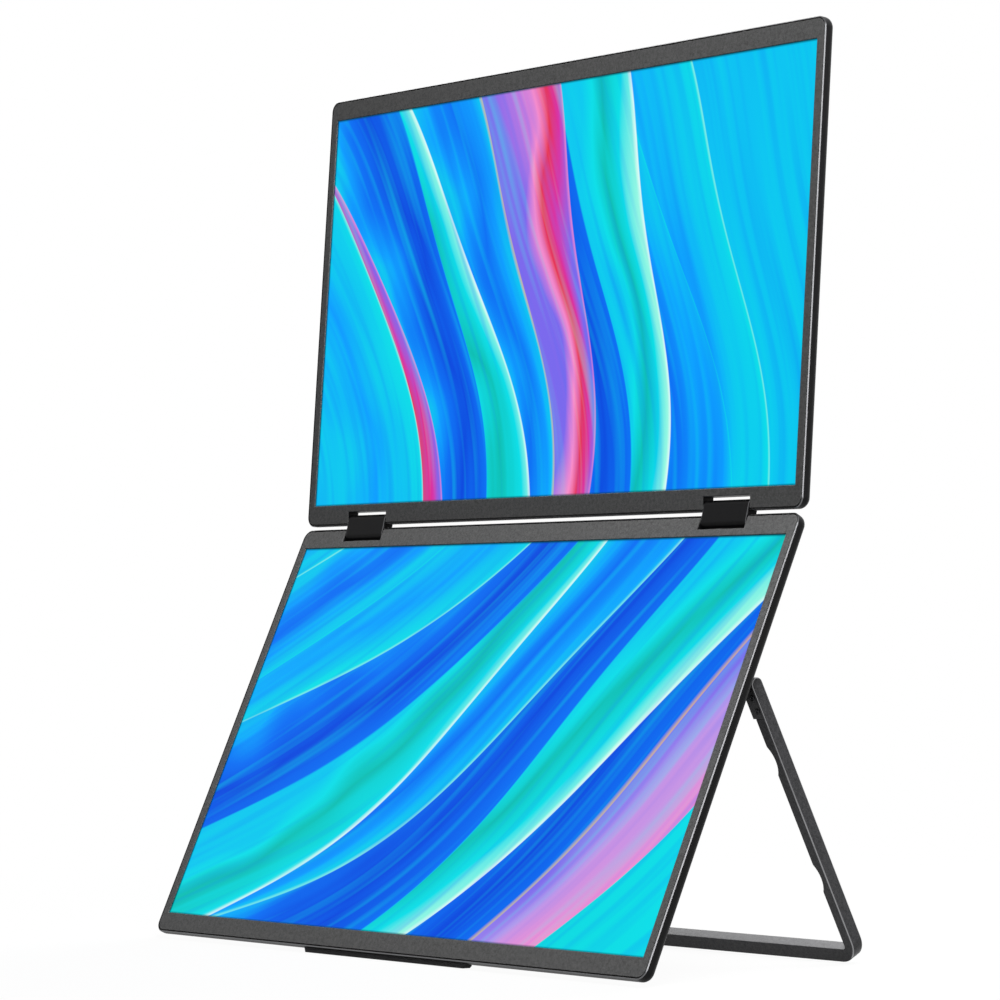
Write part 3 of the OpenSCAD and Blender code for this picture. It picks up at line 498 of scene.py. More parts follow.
@dataclass(frozen=True)
class Picture:
    """The lit picture of a screen."""

    name: str
    centre: Vector  # middle of the picture, in metres
    tilt: float  # turn of the screen about X, in radians
    size: Pair  # width and height of the picture, in millimetres
    design: Design  # what it shows
    sway: float = 5.0  # sideways sway of every fold, in millimetres
    thread: float = 5.0  # width of the fine threads
    border_shade: float = 1.1  # width of the dark teal line along the picture's edge: painted shade under the frame's edge, and partly the display's dark mask
    rim: float = 0.5  # softness of a fold's rim
    stretch: float = 0.35  # change of a fold's width, as a share
    stir: float = 0.16  # shift of a fold's shades, as a share of its width
    sheen: float = 0.3  # strength of the threads

    def make(self) -> Material:
        """Builds the material.

        Returns:
            The material.
        """
        graph = Graph(self.name)
        parts = graph.add("ShaderNodeSeparateXYZ", {0: graph.levelled(self.tilt, self.centre, MM)}).outputs
        across, up = parts["X"], parts["Z"]
        # Slow waves push the place about, so that no fold is a plain circle.
        pushed = []
        for value, other, wave, start in ((across, up, 190.0, 0.6), (up, across, 260.0, 2.1)):
            angle = graph.total(graph.times(other, 2 * math.pi / wave), start)
            pushed.append(graph.total(value, graph.times(graph.maths("SINE", angle), self.sway)))
        place = graph.add("ShaderNodeCombineXYZ", {"X": pushed[0], "Z": pushed[1]}).outputs[0]
        silk = self.silk(graph, place)
        left_to_right = graph.total(graph.times(across, 1 / self.size[0]), 0.5)
        colour = graph.ramp(left_to_right, list(enumerate(self.design.ground)))
        for fold in self.design.folds:
            colour = self.laid_over(graph, colour, fold, place, silk)
        for strength, tint in ((self.sheen, AQUA), (-self.sheen, BLUE)):
            thread = graph.maths("MULTIPLY", silk["fine"], strength, clamp=True)
            colour = graph.mix(thread, colour, tint)
        # Painted shade: near its edge the picture fades to dark teal, standing for the shade under the
        # frame's edge and partly for the display's dark mask.
        gaps = [graph.maths("SUBTRACT", length / 2, graph.maths("ABSOLUTE", value))
                for value, length in zip((across, up), self.size)]
        inside = graph.share(graph.maths("MINIMUM", *gaps), self.border_shade)
        graph.surface(Base_Color=rgb(5, 6, 8), Roughness=0.3, Specular_IOR_Level=0.02,
                      Emission_Color=graph.mix(inside, rgb(0, 70, 84), colour), Emission_Strength=1.0)
        return graph.material

    def silk(self, graph: Graph, place: NodeSocket) -> dict[str, NodeSocket]:
        """Slow changes along and across the threads, each from about -1 to 1.

        Args:
            graph: The material's nodes.
            place: Socket of the place in the picture.

        Returns:
            Sockets of the broad waves, the fine threads and the changing width of the folds.
        """
        fan = (self.design.fan[0], 0.0, self.design.fan[1])
        away = graph.add("ShaderNodeVectorMath", {0: place, 1: fan}, operation="SUBTRACT").outputs[0]
        radius = graph.add("ShaderNodeVectorMath", {0: away}, operation="LENGTH").outputs["Value"]
        around = graph.add("ShaderNodeSeparateXYZ", {0: away}).outputs
        angle = graph.maths("ARCTAN2", around["Z"], around["X"])
        waves = {}
        for name, width, turns, seed in (("broad", 24.0, 1.6, 0.0), ("fine", self.thread, 2.4, 7.0),
                                         ("width", 400.0, 5.0, 13.0)):
            parts = {"X": graph.maths("DIVIDE", radius, width), "Y": graph.times(angle, turns), "Z": seed}
            point = graph.add("ShaderNodeCombineXYZ", parts).outputs[0]
            noise = graph.add("ShaderNodeTexNoise", {"Scale": 1.0, "Detail": 1.0, "Vector": point})
            waves[name] = graph.times(graph.maths("SUBTRACT", noise.outputs["Fac"], 0.5), 4.0)
        return waves

    def laid_over(self, graph: Graph, below: NodeSocket, fold: Fold, place: NodeSocket,
                  silk: dict[str, NodeSocket]) -> NodeSocket:
        """Lays one fold over what is there.

        Args:
            graph: The material's nodes.
            below: Socket of the colour so far.
            fold: The fold.
            place: Socket of the place in the picture.
            silk: Sockets of the silk's changes.

        Returns:
            The socket of the new colour.
        """
        middle = (fold.centre[0], 0.0, fold.centre[1])
        away = graph.add("ShaderNodeVectorMath", {0: place, 1: middle}, operation="DISTANCE")
        inside = graph.maths("SUBTRACT", fold.radius, away.outputs["Value"])
        wide = graph.total(graph.times(silk["width"], self.stretch), 1.0)
        share, thin = (graph.share(graph.maths("DIVIDE", inside, width), wide)
                       for width in (fold.width, fold.line_width))
        stirred = graph.maths("ADD", graph.times(silk["broad"], self.stir), share, clamp=True)
        shade = graph.mix(thin, fold.line, graph.ramp(stirred, fold.shades))
        return graph.mix(graph.share(inside, self.rim), below, shade)


# ---- meshes


class Workpiece:
    """A mesh that is being made, in millimetres in the frame of its sub-assembly."""

    def __init__(self, place: Place) -> None:
        """Starts an empty mesh, in the frame that it is drawn in."""
        self.place = place
        self.bm = bmesh.new()

    @classmethod
    def copy_of(cls, node: Object, place: Place) -> Workpiece:
        """A merged copy of a model part.

        Args:
            node: The part.
            place: The frame to bring it to.

        Returns:
            The copy, with flat faces whole.
        """
        work = cls(place)
        work.bm.from_mesh(node.data)
        for face in work.bm.faces:
            face.material_index = 0
        work.move(place.matrix.inverted())
        work.unmirror()
        work.merge()
        work.flatten()
        work.bm.normal_update()
        return work

    def unmirror(self) -> None:
        """Turns the faces over again where this frame mirrors them."""
        if self.place.is_mirrored():
            bmesh.ops.reverse_faces(self.bm, faces=self.bm.faces)

    def merge(self) -> None:
        """Makes points that lie together one."""
        bmesh.ops.remove_doubles(self.bm, verts=self.bm.verts, dist=MERGE)

    def flatten(self) -> None:
        """Joins the faces of a plane into one."""
        bmesh.ops.dissolve_limit(self.bm, angle_limit=FLAT, verts=self.bm.verts, edges=self.bm.edges)

    def move(self, matrix: Matrix, verts: Iterable[BMVert] | None = None) -> None:
        """Moves some vertices, or all of them, by a matrix."""
        bmesh.ops.transform(self.bm, matrix=matrix, verts=list(verts or self.bm.verts))

    def slab(self, low: Vector, high: Vector, radius: float = 0.0) -> None:
        """Draws the front of a box, as one face with rounded corners.

        Args:
            low: Lowest corner of the box.
            high: Highest corner of the box.
            radius: Radius of the face's corners.
        """
        corners = [(low.x, low.z), (high.x, low.z), (high.x, high.z), (low.x, high.z)]
        face = self.bm.faces.new([self.bm.verts.new((x, low.y, z)) for x, z in corners])
        if radius:
            bmesh.ops.bevel(self.bm, geom=list(face.verts), offset=radius, segments=CORNER_STEPS,
                            profile=0.5, affect="VERTICES", material=-1)

    def cut_at(self, x: float, z: float) -> None:
        """Cuts every face along two planes.

        Args:
            x: Place of the plane square to X.
            z: Place of the plane square to Z.
        """
        for point, normal in (((x, 0, 0), (1, 0, 0)), ((0, 0, z), (0, 0, 1))):
            geom = [*self.bm.verts, *self.bm.edges, *self.bm.faces]
            bmesh.ops.bisect_plane(self.bm, geom=geom, plane_co=point, plane_no=normal, dist=ON_CUT)

    def window(self, low: Pair, high: Pair) -> None:
        """Cuts a rectangular window out of the plates drawn so far.

        Args:
            low: Lowest X and Z.
            high: Highest X and Z.
        """
        for x, z in (low, high):
            self.cut_at(x, z)
        inside = [face for face in self.bm.faces if within(face.calc_center_median(), low, high)]
        bmesh.ops.delete(self.bm, geom=inside, context="FACES")

    def thicken(self, depth: float) -> None:
        """Turns the plates drawn so far into a solid.

        Args:
            depth: How far it reaches back along Y.
        """
        self.flatten()
        grown = bmesh.ops.extrude_face_region(self.bm, geom=list(self.bm.faces))
        self.move(Matrix.Translation((0, depth, 0)), of_kind(grown["geom"], BMVert))
        bmesh.ops.recalc_face_normals(self.bm, faces=self.bm.faces)

    def corners(self, angle: float = 50.0, wanted: Callable[[BMEdge], bool] | None = None) -> list[BMEdge]:
        """Edges where two faces meet at more than an angle in degrees, and that pass a test."""
        return [edge for edge in self.bm.edges
                if len(edge.link_faces) == 2 and edge.calc_face_angle(0.0) > math.radians(angle)
                and (wanted is None or wanted(edge))]

    def outline(self, axis: int, level: float, angle: float = 50.0) -> list[BMEdge]:
        """Corner edges that lie in the plane at a level of an axis."""
        return self.corners(angle, lambda edge: all(abs(v.co[axis] - level) < TOUCH for v in edge.verts))

    def soften(self, edges: Iterable[BMEdge], width: float, segments: int = 2,
               clamp: bool = False) -> list[BMFace]:
        """Rounds edges, no wider than there is room for where it is clamped, and gives the new faces."""
        return bmesh.ops.bevel(self.bm, geom=list(edges), offset=width, segments=segments, profile=0.5,
                               affect="EDGES", clamp_overlap=clamp, material=-1)["faces"]

    def stamp(self, stamp: bpy.types.Mesh, matrix: Matrix) -> None:
        """Adds a copy of a mesh.

        Args:
            stamp: The mesh.
            matrix: Its place in this piece's frame.
        """
        before = len(self.bm.verts)
        self.bm.from_mesh(stamp)
        self.bm.verts.ensure_lookup_table()
        self.move(matrix, self.bm.verts[before:])

    def to_mesh(self, name: str) -> bpy.types.Mesh:
        """Ends the work.

        Args:
            name: Name of the mesh.

        Returns:
            The mesh.
        """
        mesh = bpy.data.meshes.new(name)
        self.bm.to_mesh(mesh)
        self.bm.free()
        return mesh

    def finish(self, name: str, body: Body, slot: Slot, material: Material,
               replaces: Sequence[str] = (), trims: Sequence[Material] = ()) -> None:
        """Makes the mesh a piece of the object, in its place.

        Args:
            name: Name of the piece.
            body: The body that it rides on.
            slot: Not used.
            material: Its material.
            replaces: Model parts that it stands for.
            trims: Materials of the faces that were marked as trim, with its painted highlight, and as
                facing.
        """
        self.move(self.place.matrix)
        self.unmirror()
        for face in self.bm.faces:
            face.smooth = True
        sharp = set(self.corners(SHARP))
        for edge in self.bm.edges:
            edge.smooth = edge not in sharp
        mesh = self.to_mesh(name)
        for finish in (material, *trims):
            mesh.materials.append(finish)
        piece = in_scene(name, mesh)
        flats = piece.modifiers.new("flat_faces", "WEIGHTED_NORMAL")
        flats.keep_sharp = True
        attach(piece, body.value)
        if replaces:
            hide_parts(*replaces)
        LOG.info("%s: %d faces, on %s", name, len(mesh.polygons), body.value)


def in_scene(name: str, data: bpy.types.ID) -> Object:
    """Puts a new object into the scene.

    Args:
        name: Its name.
        data: Its mesh, lamp or camera.

    Returns:
        The object.
    """
    thing = bpy.data.objects.new(name, data)
    bpy.context.scene.collection.objects.link(thing)
    return thing


def of_kind(geometry: Iterable[object], kind: type) -> list:
    """The elements of one kind in what an operator returns."""
    return [element for element in geometry if isinstance(element, kind)]


def within(point: Vector, low: Pair, high: Pair) -> bool:
    """Whether a point's X and Z lie in a rectangle."""
    return low[0] < point.x < high[0] and low[1] < point.z < high[1]


@dataclass(frozen=True)
class CrossScrew:
    """A screw with a cross recess, drawn with its head's top at Y = 0 and its shank along +Y."""

    head_d: float  # diameter of the head, in millimetres
    head_t: float  # thickness of the head
    shank_d: float  # diameter of the shank
    length: float  # length of the shank
    dome: float = 0.25  # rounding of the head's edge
    tip: float = 0.3  # chamfer of the shank's end
    arm_w: float = 0.11  # half width of the cross's arms, as a share of the head
    arm_l: float = 0.31  # length of the arms from the middle, as a share of the head
    recess_t: float = 0.7  # depth of the cross, as a share of the head's thickness
    taper: float = 0.72  # width of the cross at its floor, as a share of its mouth

    def mesh(self) -> bpy.types.Mesh:
        """Builds the screw once, for stamping.

        Returns:
            The mesh.
        """
        work = Workpiece(Place(Matrix.Identity(4), 0.0))
        flat = self.head_d / 2 - self.dome
        bmesh.ops.create_circle(work.bm, cap_ends=True, segments=24, radius=flat)
        work.move(Matrix.Rotation(math.radians(90), 4, "X"))
        slot, reach = self.arm_w * self.head_d, self.arm_l * self.head_d
        for size in (slot, reach):
            for side in (-size, size):
                work.cut_at(side, side)
        arms = [((-slot, -reach), (slot, reach)), ((-reach, -slot), (reach, slot))]
        recess = [face for face in work.bm.faces
                  if any(within(face.calc_center_median(), *arm) for arm in arms)]
        sunk = of_kind(bmesh.ops.extrude_face_region(work.bm, geom=recess)["geom"], BMVert)
        bmesh.ops.delete(work.bm, geom=recess, context="FACES")
        floor = Matrix.Diagonal((self.taper, 1, self.taper, 1))
        work.move(Matrix.Translation((0, self.recess_t * self.head_t, 0)) @ floor, sunk)
        rim = [edge for edge in work.bm.edges if edge.is_boundary]
        end = self.head_t + self.length
        steps = [(0.0, flat), (self.dome, self.head_d / 2), (self.head_t, self.head_d / 2),
                 (self.head_t, self.shank_d / 2), (end - self.tip, self.shank_d / 2),
                 (end, self.shank_d / 2 - self.tip)]
        for (depth, radius), (next_depth, next_radius) in zip(steps, steps[1:]):
            grown = bmesh.ops.extrude_edge_only(work.bm, edges=rim)["geom"]
            growth = Matrix.Diagonal((next_radius / radius, 1, next_radius / radius, 1))
            work.move(Matrix.Translation((0, next_depth - depth, 0)) @ growth, of_kind(grown, BMVert))
            rim = of_kind(grown, BMEdge)
        bmesh.ops.edgeloop_fill(work.bm, edges=rim)
        bmesh.ops.recalc_face_normals(work.bm, faces=work.bm.faces)
        return work.to_mesh("cross_screw")


# ---- sub-assemblies


@dataclass
class Finishes:
    """Every finish of the object, made once and shared."""

    frames: Frames

    def __post_init__(self) -> None:
        """Builds the materials."""
        self.shell = MouldedPlastic("shell_plastic", rgb(25, 25, 26), 0.42, 0.09, 0.5, 0.2, 0.015).make()
        # Light polished metal for the shell chamfers and the hinge blocks' end bevels: partly a real
        # polished edge, partly a painted highlight.
        self.rim = Metal("rim_polish_and_highlight", rgb(100, 100, 102), 0.24).make()
        self.housing = MouldedPlastic("housing_plastic", rgb(38, 38, 40), 0.5, 0.12, 0.7, 0.3, 0.04).make()
        self.bezel = MouldedPlastic("bezel_plastic", rgb(87, 87, 87), 0.6, 0.1, 0.4, 0.34, 0.03).make()
        self.hinge = MouldedPlastic("hinge_plastic", rgb(21, 21, 22), 0.45, 0.06, 0.35, 0.15, 0.008).make()
        self.button = MouldedPlastic("button_plastic", rgb(48, 48, 50), 0.3, 0.4, 0.3, 0.15, 0.006).make()
        self.speaker = MouldedPlastic("speaker_paper", rgb(52, 52, 54), 0.75, 0.2, 0.8, 0.35, 0.05).make()
        self.chip = MouldedPlastic("chip_epoxy", rgb(46, 46, 48), 0.6, 0.3, 0.3, 0.2, 0.02).make()
        self.ribbon = MouldedPlastic("ribbon_film", rgb(222, 216, 200), 0.4, 0.3, 1.5, 0.06, 0.01).make()
        self.rubber = Rubber("rubber_black", rgb(56, 56, 57)).make()
        self.cable = Rubber("cable_sleeve", rgb(36, 36, 37)).make()
        self.stand = MouldedPlastic("stand_anodised", rgb(83, 83, 85), 0.38, 0.12, 0.45, 0.36, 0.03).make()
        # Lighter cut metal on the hoop's outer edges: partly a real cut edge, partly a painted highlight.
        self.stand_edge_highlight = Metal("stand_cut_edge_and_highlight", rgb(140, 140, 142), 0.3, 0.9, 4.0).make()
        self.leaf = Metal("leaf_coated_steel", rgb(60, 60, 62), 0.45, 0.6).make()
        self.steel = Metal("rolled_steel", rgb(196, 198, 202), 0.3, 1.0, 12.0).make()
        self.screw = Metal("screw_steel", rgb(186, 188, 192), 0.28).make()
        self.black_screw = Metal("screw_black_oxide", rgb(54, 54, 57), 0.4, 0.8).make()
        self.socket = Metal("socket_plating", rgb(206, 207, 210), 0.22).make()
        self.film = Metal("reflector_film", rgb(214, 216, 220), 0.35, 0.5, 1.0, 2.0).make()
        self.board = PrintedBoard("board_solder_mask", self.frames.lower.tilt).make()
        self.contacts = Contacts("tongue_contacts", self.frames.lower.tilt).make()


@dataclass
class SubAssembly:
    """What every sub-assembly is made from."""

    place: Place  # its frame
    finishes: Finishes
    nodes: dict[str, Object]  # the model's parts

    def box(self, name: str) -> tuple[Vector, Vector]:
        """Lowest and highest corner of a model part, in this frame."""
        return self.place.box(self.nodes[name])

    def copy(self, name: str) -> Workpiece:
        """A merged copy of a model part, in this frame."""
        return Workpiece.copy_of(self.nodes[name], self.place)


@dataclass
class Screen(SubAssembly):
    """One screen: its shell, the frame round its picture and the display itself.

    Its frame has Z = 0 at the hinge edge and negative away from it.
    """

    name: str  # first word of its parts' names
    body: Body  # the body that it is
    design: Design  # what its picture shows
    picture_size: Pair = (344.2, 193.6)  # width and height of the picture, in millimetres
    picture_in: float = 10.1  # distance of the picture from the hinge edge
    corner_r: float = 4.0  # radius of the frame's corners
    notch_gap: float = 0.5  # gap between a hinge block and the ends of its notch
    notch_depth: float = 6.8  # depth of the notches
    edge: float = 0.22  # rounding of the frame's edges
    chamfer: float = 0.4  # width of the chamfer round the shell's front, polished metal made lighter as a painted highlight

    def build(self) -> None:
        """Makes and dresses the screen's visible pieces."""
        self.dress_shell()
        self.build_frame()
        self.light_picture()

    def dress_shell(self) -> None:
        """Smooths the rear shell, gives the chamfer round its front a light polished metal as a painted
        highlight and matches the rim to the frame.
        """
        node = self.name + "_rear_shell"
        low, _ = self.box(node)
        work = self.copy(node)
        square, slanted = -0.9, -0.5
        for face in work.bm.faces:
            depth = face.calc_center_median().y - low.y
            if depth < TOUCH and face.normal.y < square:
                face.material_index = FACING
            # The chamfer faces take the light polished metal, a painted highlight.
            elif depth < 0.6 * self.chamfer and face.normal.y < slanted:
                face.material_index = HIGHLIGHT_TRIM
        work.finish(self.name + "_shell", self.body, Slot.SHELL, self.finishes.shell, [node],
                    (self.finishes.rim, self.finishes.bezel))

    def build_frame(self) -> None:
        """Builds the frame round the picture, with softened edges and a notch for each hinge block."""
        node = self.name + "_front_bezel"
        low, high = self.box(node)
        work = Workpiece(self.place)
        work.slab(low, high, self.corner_r)
        width, height = self.picture_size
        work.window((-width / 2, -self.picture_in - height), (width / 2, -self.picture_in))
        for side in ("left", "right"):
            block_low, block_high = self.box("hinge_cover_" + side)
            work.window((block_low.x - self.notch_gap, -self.notch_depth),
                        (block_high.x + self.notch_gap, 1.0))
        work.thicken(high.y - low.y)
        work.soften(work.corners(60.0), self.edge)
        work.finish(self.name + "_picture_frame", self.body, Slot.BEZEL, self.finishes.bezel, [node])

    def light_picture(self) -> None:
        """Gives the display its lit picture."""
        middle = Vector((0, 0, -self.picture_in - self.picture_size[1] / 2))
        picture = Picture(self.name + "_picture", self.place.matrix @ middle, self.place.tilt,
                          self.picture_size, self.design)
        coat(self.nodes[self.name + "_display_glass"], picture.make())


def coat(node: Object, material: Material) -> None:
    """Gives a model part a finish.

    Args:
        node: The part.
        material: The finish.
    """
    if not node.material_slots:
        node.data.materials.append(material)
    for slot in node.material_slots:
        slot.material = material


@dataclass
class HingeBlocks(SubAssembly):
    """The two blocks that join the screens."""

    edge: float = 0.4  # rounding of the ends' outline, in millimetres
    margin: float = 0.2  # how far inside the outline an edge still counts as part of it

    def build(self) -> None:
        """Makes each block's cover with softened ends, their bevels lighter as a painted highlight."""
        for side in ("left", "right"):
            node = "hinge_cover_" + side
            low, high = self.box(node)
            work = self.copy(node)
            reach = (high.y - low.y) / 2 - self.margin

            def outer(edge: BMEdge) -> bool:
                """Whether an edge lies on an end's outline, and not on a bore or inside.

                Args:
                    edge: The edge.

                Returns:
                    True on the outline.
                """
                for point in (vertex.co for vertex in edge.verts):
                    rise = max(0.0, min(point.z, high.z + low.y))
                    at_end = min(abs(point.x - low.x), abs(point.x - high.x)) < TOUCH
                    if not at_end or math.hypot(point.y, point.z - rise) <= reach:
                        return False
                return True

            # The end bevels take the light polished metal, a painted highlight.
            for face in work.soften(work.corners(60.0, outer), self.edge):
                face.material_index = HIGHLIGHT_TRIM
            work.finish("hinge_block_" + side, Body.BLOCKS, Slot.HINGE, self.finishes.hinge, [node],
                        (self.finishes.rim,))


@dataclass
class Kickstand(SubAssembly):
    """The hoop, its two leaves, their screws and the rubber pad."""

    edge: float = 0.4  # rounding of the hoop's edges, in millimetres
    leaf_edge: float = 0.2  # rounding of the leaves' front edges
    pad_edge: float = 0.3  # rounding of the pad's lower edges
    corner_r: float = 10.0  # radius of the hoop's bends
    leaf_gap: float = 0.3  # distance from a leaf to where the faces' edges start to be rounded

    def build(self) -> None:
        """Makes the pieces."""
        self.build_hoop()
        self.build_leaves()
        self.build_screws()
        self.build_pad()

    def build_hoop(self) -> None:
        """Softens the hoop's edges and makes the outer ones lighter cut metal, partly a painted highlight.
        """
        low, high = self.box("stand_hoop")
        below_leaf = self.box("stand_leaf_right")[0].z - self.leaf_gap
        work = self.copy("stand_hoop")

        def along(edge: BMEdge) -> bool:
            """Whether an edge runs round an outer side, or along a face below the leaf.

            Args:
                edge: The edge.

            Returns:
                True if it does.
            """
            at_side = all(high.x - abs(v.co.x) < TOUCH for v in edge.verts)
            at_face = all(min(v.co.y - low.y, high.y - v.co.y) < TOUCH for v in edge.verts)
            return at_side or (at_face and all(v.co.z < below_leaf for v in edge.verts))

        # The outer bevels take the lighter cut metal, a painted highlight.
        for face in work.soften(work.corners(50.0, along), self.edge):
            if self.is_outer(face.calc_center_median(), low, high):
                face.material_index = HIGHLIGHT_TRIM
        work.finish("stand_frame", Body.STAND, Slot.STAND, self.finishes.stand, ["stand_hoop"],
                    (self.finishes.stand_edge_highlight,))

    def is_outer(self, point: Vector, low: Vector, high: Vector) -> bool:
        """Whether a point lies on the outside of a leg or of the bend below it.

        Args:
            point: The point.
            low: The hoop's lowest corner.
            high: The hoop's highest corner.

        Returns:
            True on the outside, above the crossbar's underside.
        """
        side, rise = high.x - abs(point.x), point.z - low.z
        if min(side, rise) < self.corner_r and max(side, rise) < self.corner_r:
            side = self.corner_r - math.hypot(self.corner_r - side, self.corner_r - rise)
        past_edge, above_bar = 1.5 * self.edge, 0.25 * self.corner_r
        return side < past_edge and rise > above_bar

    def build_leaves(self) -> None:
        """Softens the leaves' outer edges."""
        for side in ("left", "right"):
            node = "stand_leaf_" + side
            work = self.copy(node)
            work.soften(work.outline(Y, self.box(node)[0].y, 60.0), self.leaf_edge, clamp=True)
            work.merge()
            work.finish("stand_hinge_" + side, Body.STAND, Slot.LEAF, self.finishes.leaf, [node])

    def build_screws(self) -> None:
        """Builds the screws that hold the leaves to the legs."""
        screw = CrossScrew(2.8, 0.4, 1.6, 4.0, 0.15)
        stamp = screw.mesh()
        low, high = self.box("stand_leaf_screws")
        work = Workpiece(self.place)
        inset = screw.head_d / 2
        for x in (low.x + inset, high.x - inset):
            for z in (low.z + inset, high.z - inset):
                work.stamp(stamp, Matrix.Translation((x, low.y, z)))
        work.finish("leaf_cross_screws", Body.STAND, Slot.LEAF_SCREW, self.finishes.black_screw,
                    ["stand_leaf_screws"])

    def build_pad(self) -> None:
        """Builds the pad in the crossbar, with softened edges."""
        low, high = self.box("stand_pad")
        work = Workpiece(self.place)
        work.slab(low, high)
        work.thicken(high.y - low.y)
        work.soften(work.outline(Z, low.z, 60.0), self.pad_edge)
        work.finish("stand_rubber_pad", Body.STAND, Slot.RUBBER, self.finishes.rubber, ["stand_pad"])


@dataclass
class FootStrip(SubAssembly):
    """The rubber strip under the lower screen."""

    edge: float = 0.4  # rounding of the edges that show, in millimetres
    behind_screen: float = 2.1  # height of the strip behind the screen's edge

    def build(self) -> None:
        """Rounds the edges of the front face that show below the screen."""
        low, high = self.box("foot_strip")
        work = self.copy("foot_strip")
        shown = [edge for edge in work.outline(Y, low.y)
                 if all(v.co.z < high.z - self.behind_screen for v in edge.verts)]
        work.soften(shown, self.edge, 3, clamp=True)
        work.finish("foot_rubber_strip", Body.LOWER, Slot.RUBBER, self.finishes.rubber, ["foot_strip"])


@dataclass
class RearHousing(SubAssembly):
    """The housing behind the lower screen, and its screws."""

    def build(self) -> None:
        """Makes the pieces."""
        work = self.copy("rear_housing")
        work.finish("rear_cover", Body.LOWER, Slot.SHELL, self.finishes.housing, ["rear_housing"])
        self.build_screws()

    def build_screws(self) -> None:
        """Builds the housing's black screws in their recesses."""
        stamp = CrossScrew(3.8, 0.9, 1.6, 5.0).mesh()
        top = self.box("housing_screws")[1].y
        model = self.copy("housing_screws")
        work = Workpiece(self.place)
        for face in model.bm.faces:
            if all(abs(v.co.y - top) < TOUCH for v in face.verts):
                middle = face.calc_center_bounds()
                turned = Matrix.Translation((middle.x, top, middle.z)) @ Matrix.Rotation(math.pi, 4, "X")
                work.stamp(stamp, turned)
        model.bm.free()
        work.finish("housing_cross_screws", Body.LOWER, Slot.HOUSING_SCREW, self.finishes.black_screw,
                    ["housing_screws"])


@dataclass
class Controls(SubAssembly):
    """The two push buttons and the menu rocker in the side of the housing."""

    edge: float = 0.3  # rounding of the edges that a finger meets, in millimetres
    shoulder_edge: float = 0.15  # chamfer of the shoulder inside the housing's wall

    def build(self) -> None:
        """Rounds the outer edges and chamfers the shoulders."""
        for body in (Body.POWER, Body.MODE, Body.ROCKER):
            low, high = self.box(body.value)
            work = self.copy(body.value)
            work.soften(work.outline(X, low.x), self.edge, 3)
            near_top = high.z - 0.1
            shoulder = max(v.co.x for v in work.bm.verts if v.co.z > near_top)
            rim = [edge for edge in work.outline(X, shoulder) if edge.is_convex]
            work.soften(rim, self.shoulder_edge, 1)
            work.finish(body.name.lower() + "_cap", body, Slot.BUTTON, self.finishes.button, [body.value])


def dress_inner_parts(nodes: dict[str, Object], finishes: Finishes) -> None:
    """Gives the parts that stay as modelled their finishes.

    Args:
        nodes: The model's parts.
        finishes: The finishes.
    """
    groups = {
        finishes.steel: ("hinge_leaf_left", "hinge_leaf_right", "hinge_shafts", "hinge_friction_plates",
                         "stand_bracket_left", "stand_bracket_right"),
        finishes.screw: ("leaf_screws", "board_screws", "stand_bracket_screws", "rocker_pin"),
        finishes.film: ("backlight",),
        finishes.board: ("main_board", "control_board", "driver_board"),
        finishes.chip: ("main_board_chips", "driver_chips", "control_switches", "speaker_boxes"),
        finishes.contacts: ("socket_tongues",),
        finishes.ribbon: ("board_ribbon", "display_ribbon"),
        finishes.socket: ("usb_c_sockets", "mini_hdmi_socket"),
        finishes.speaker: ("speaker_cones",),
        finishes.cable: ("link_cable",),
    }
    for material, endings in groups.items():
        for name, node in nodes.items():
            if not node.hide_render and name.endswith(endings):
                coat(node, material)


# ---- studio


@dataclass(frozen=True)
class Softbox:
    """A rectangular lamp."""

    name: str
    place: Triple  # its place, in metres
    aim: Triple  # the point that it faces
    size: Pair  # width and height, in metres
    level: float  # lightness that it gives a white surface at that point, facing it
    roll: float = 0.0  # turn about its own axis, in degrees
    mirrored: bool = True  # whether polished surfaces show it


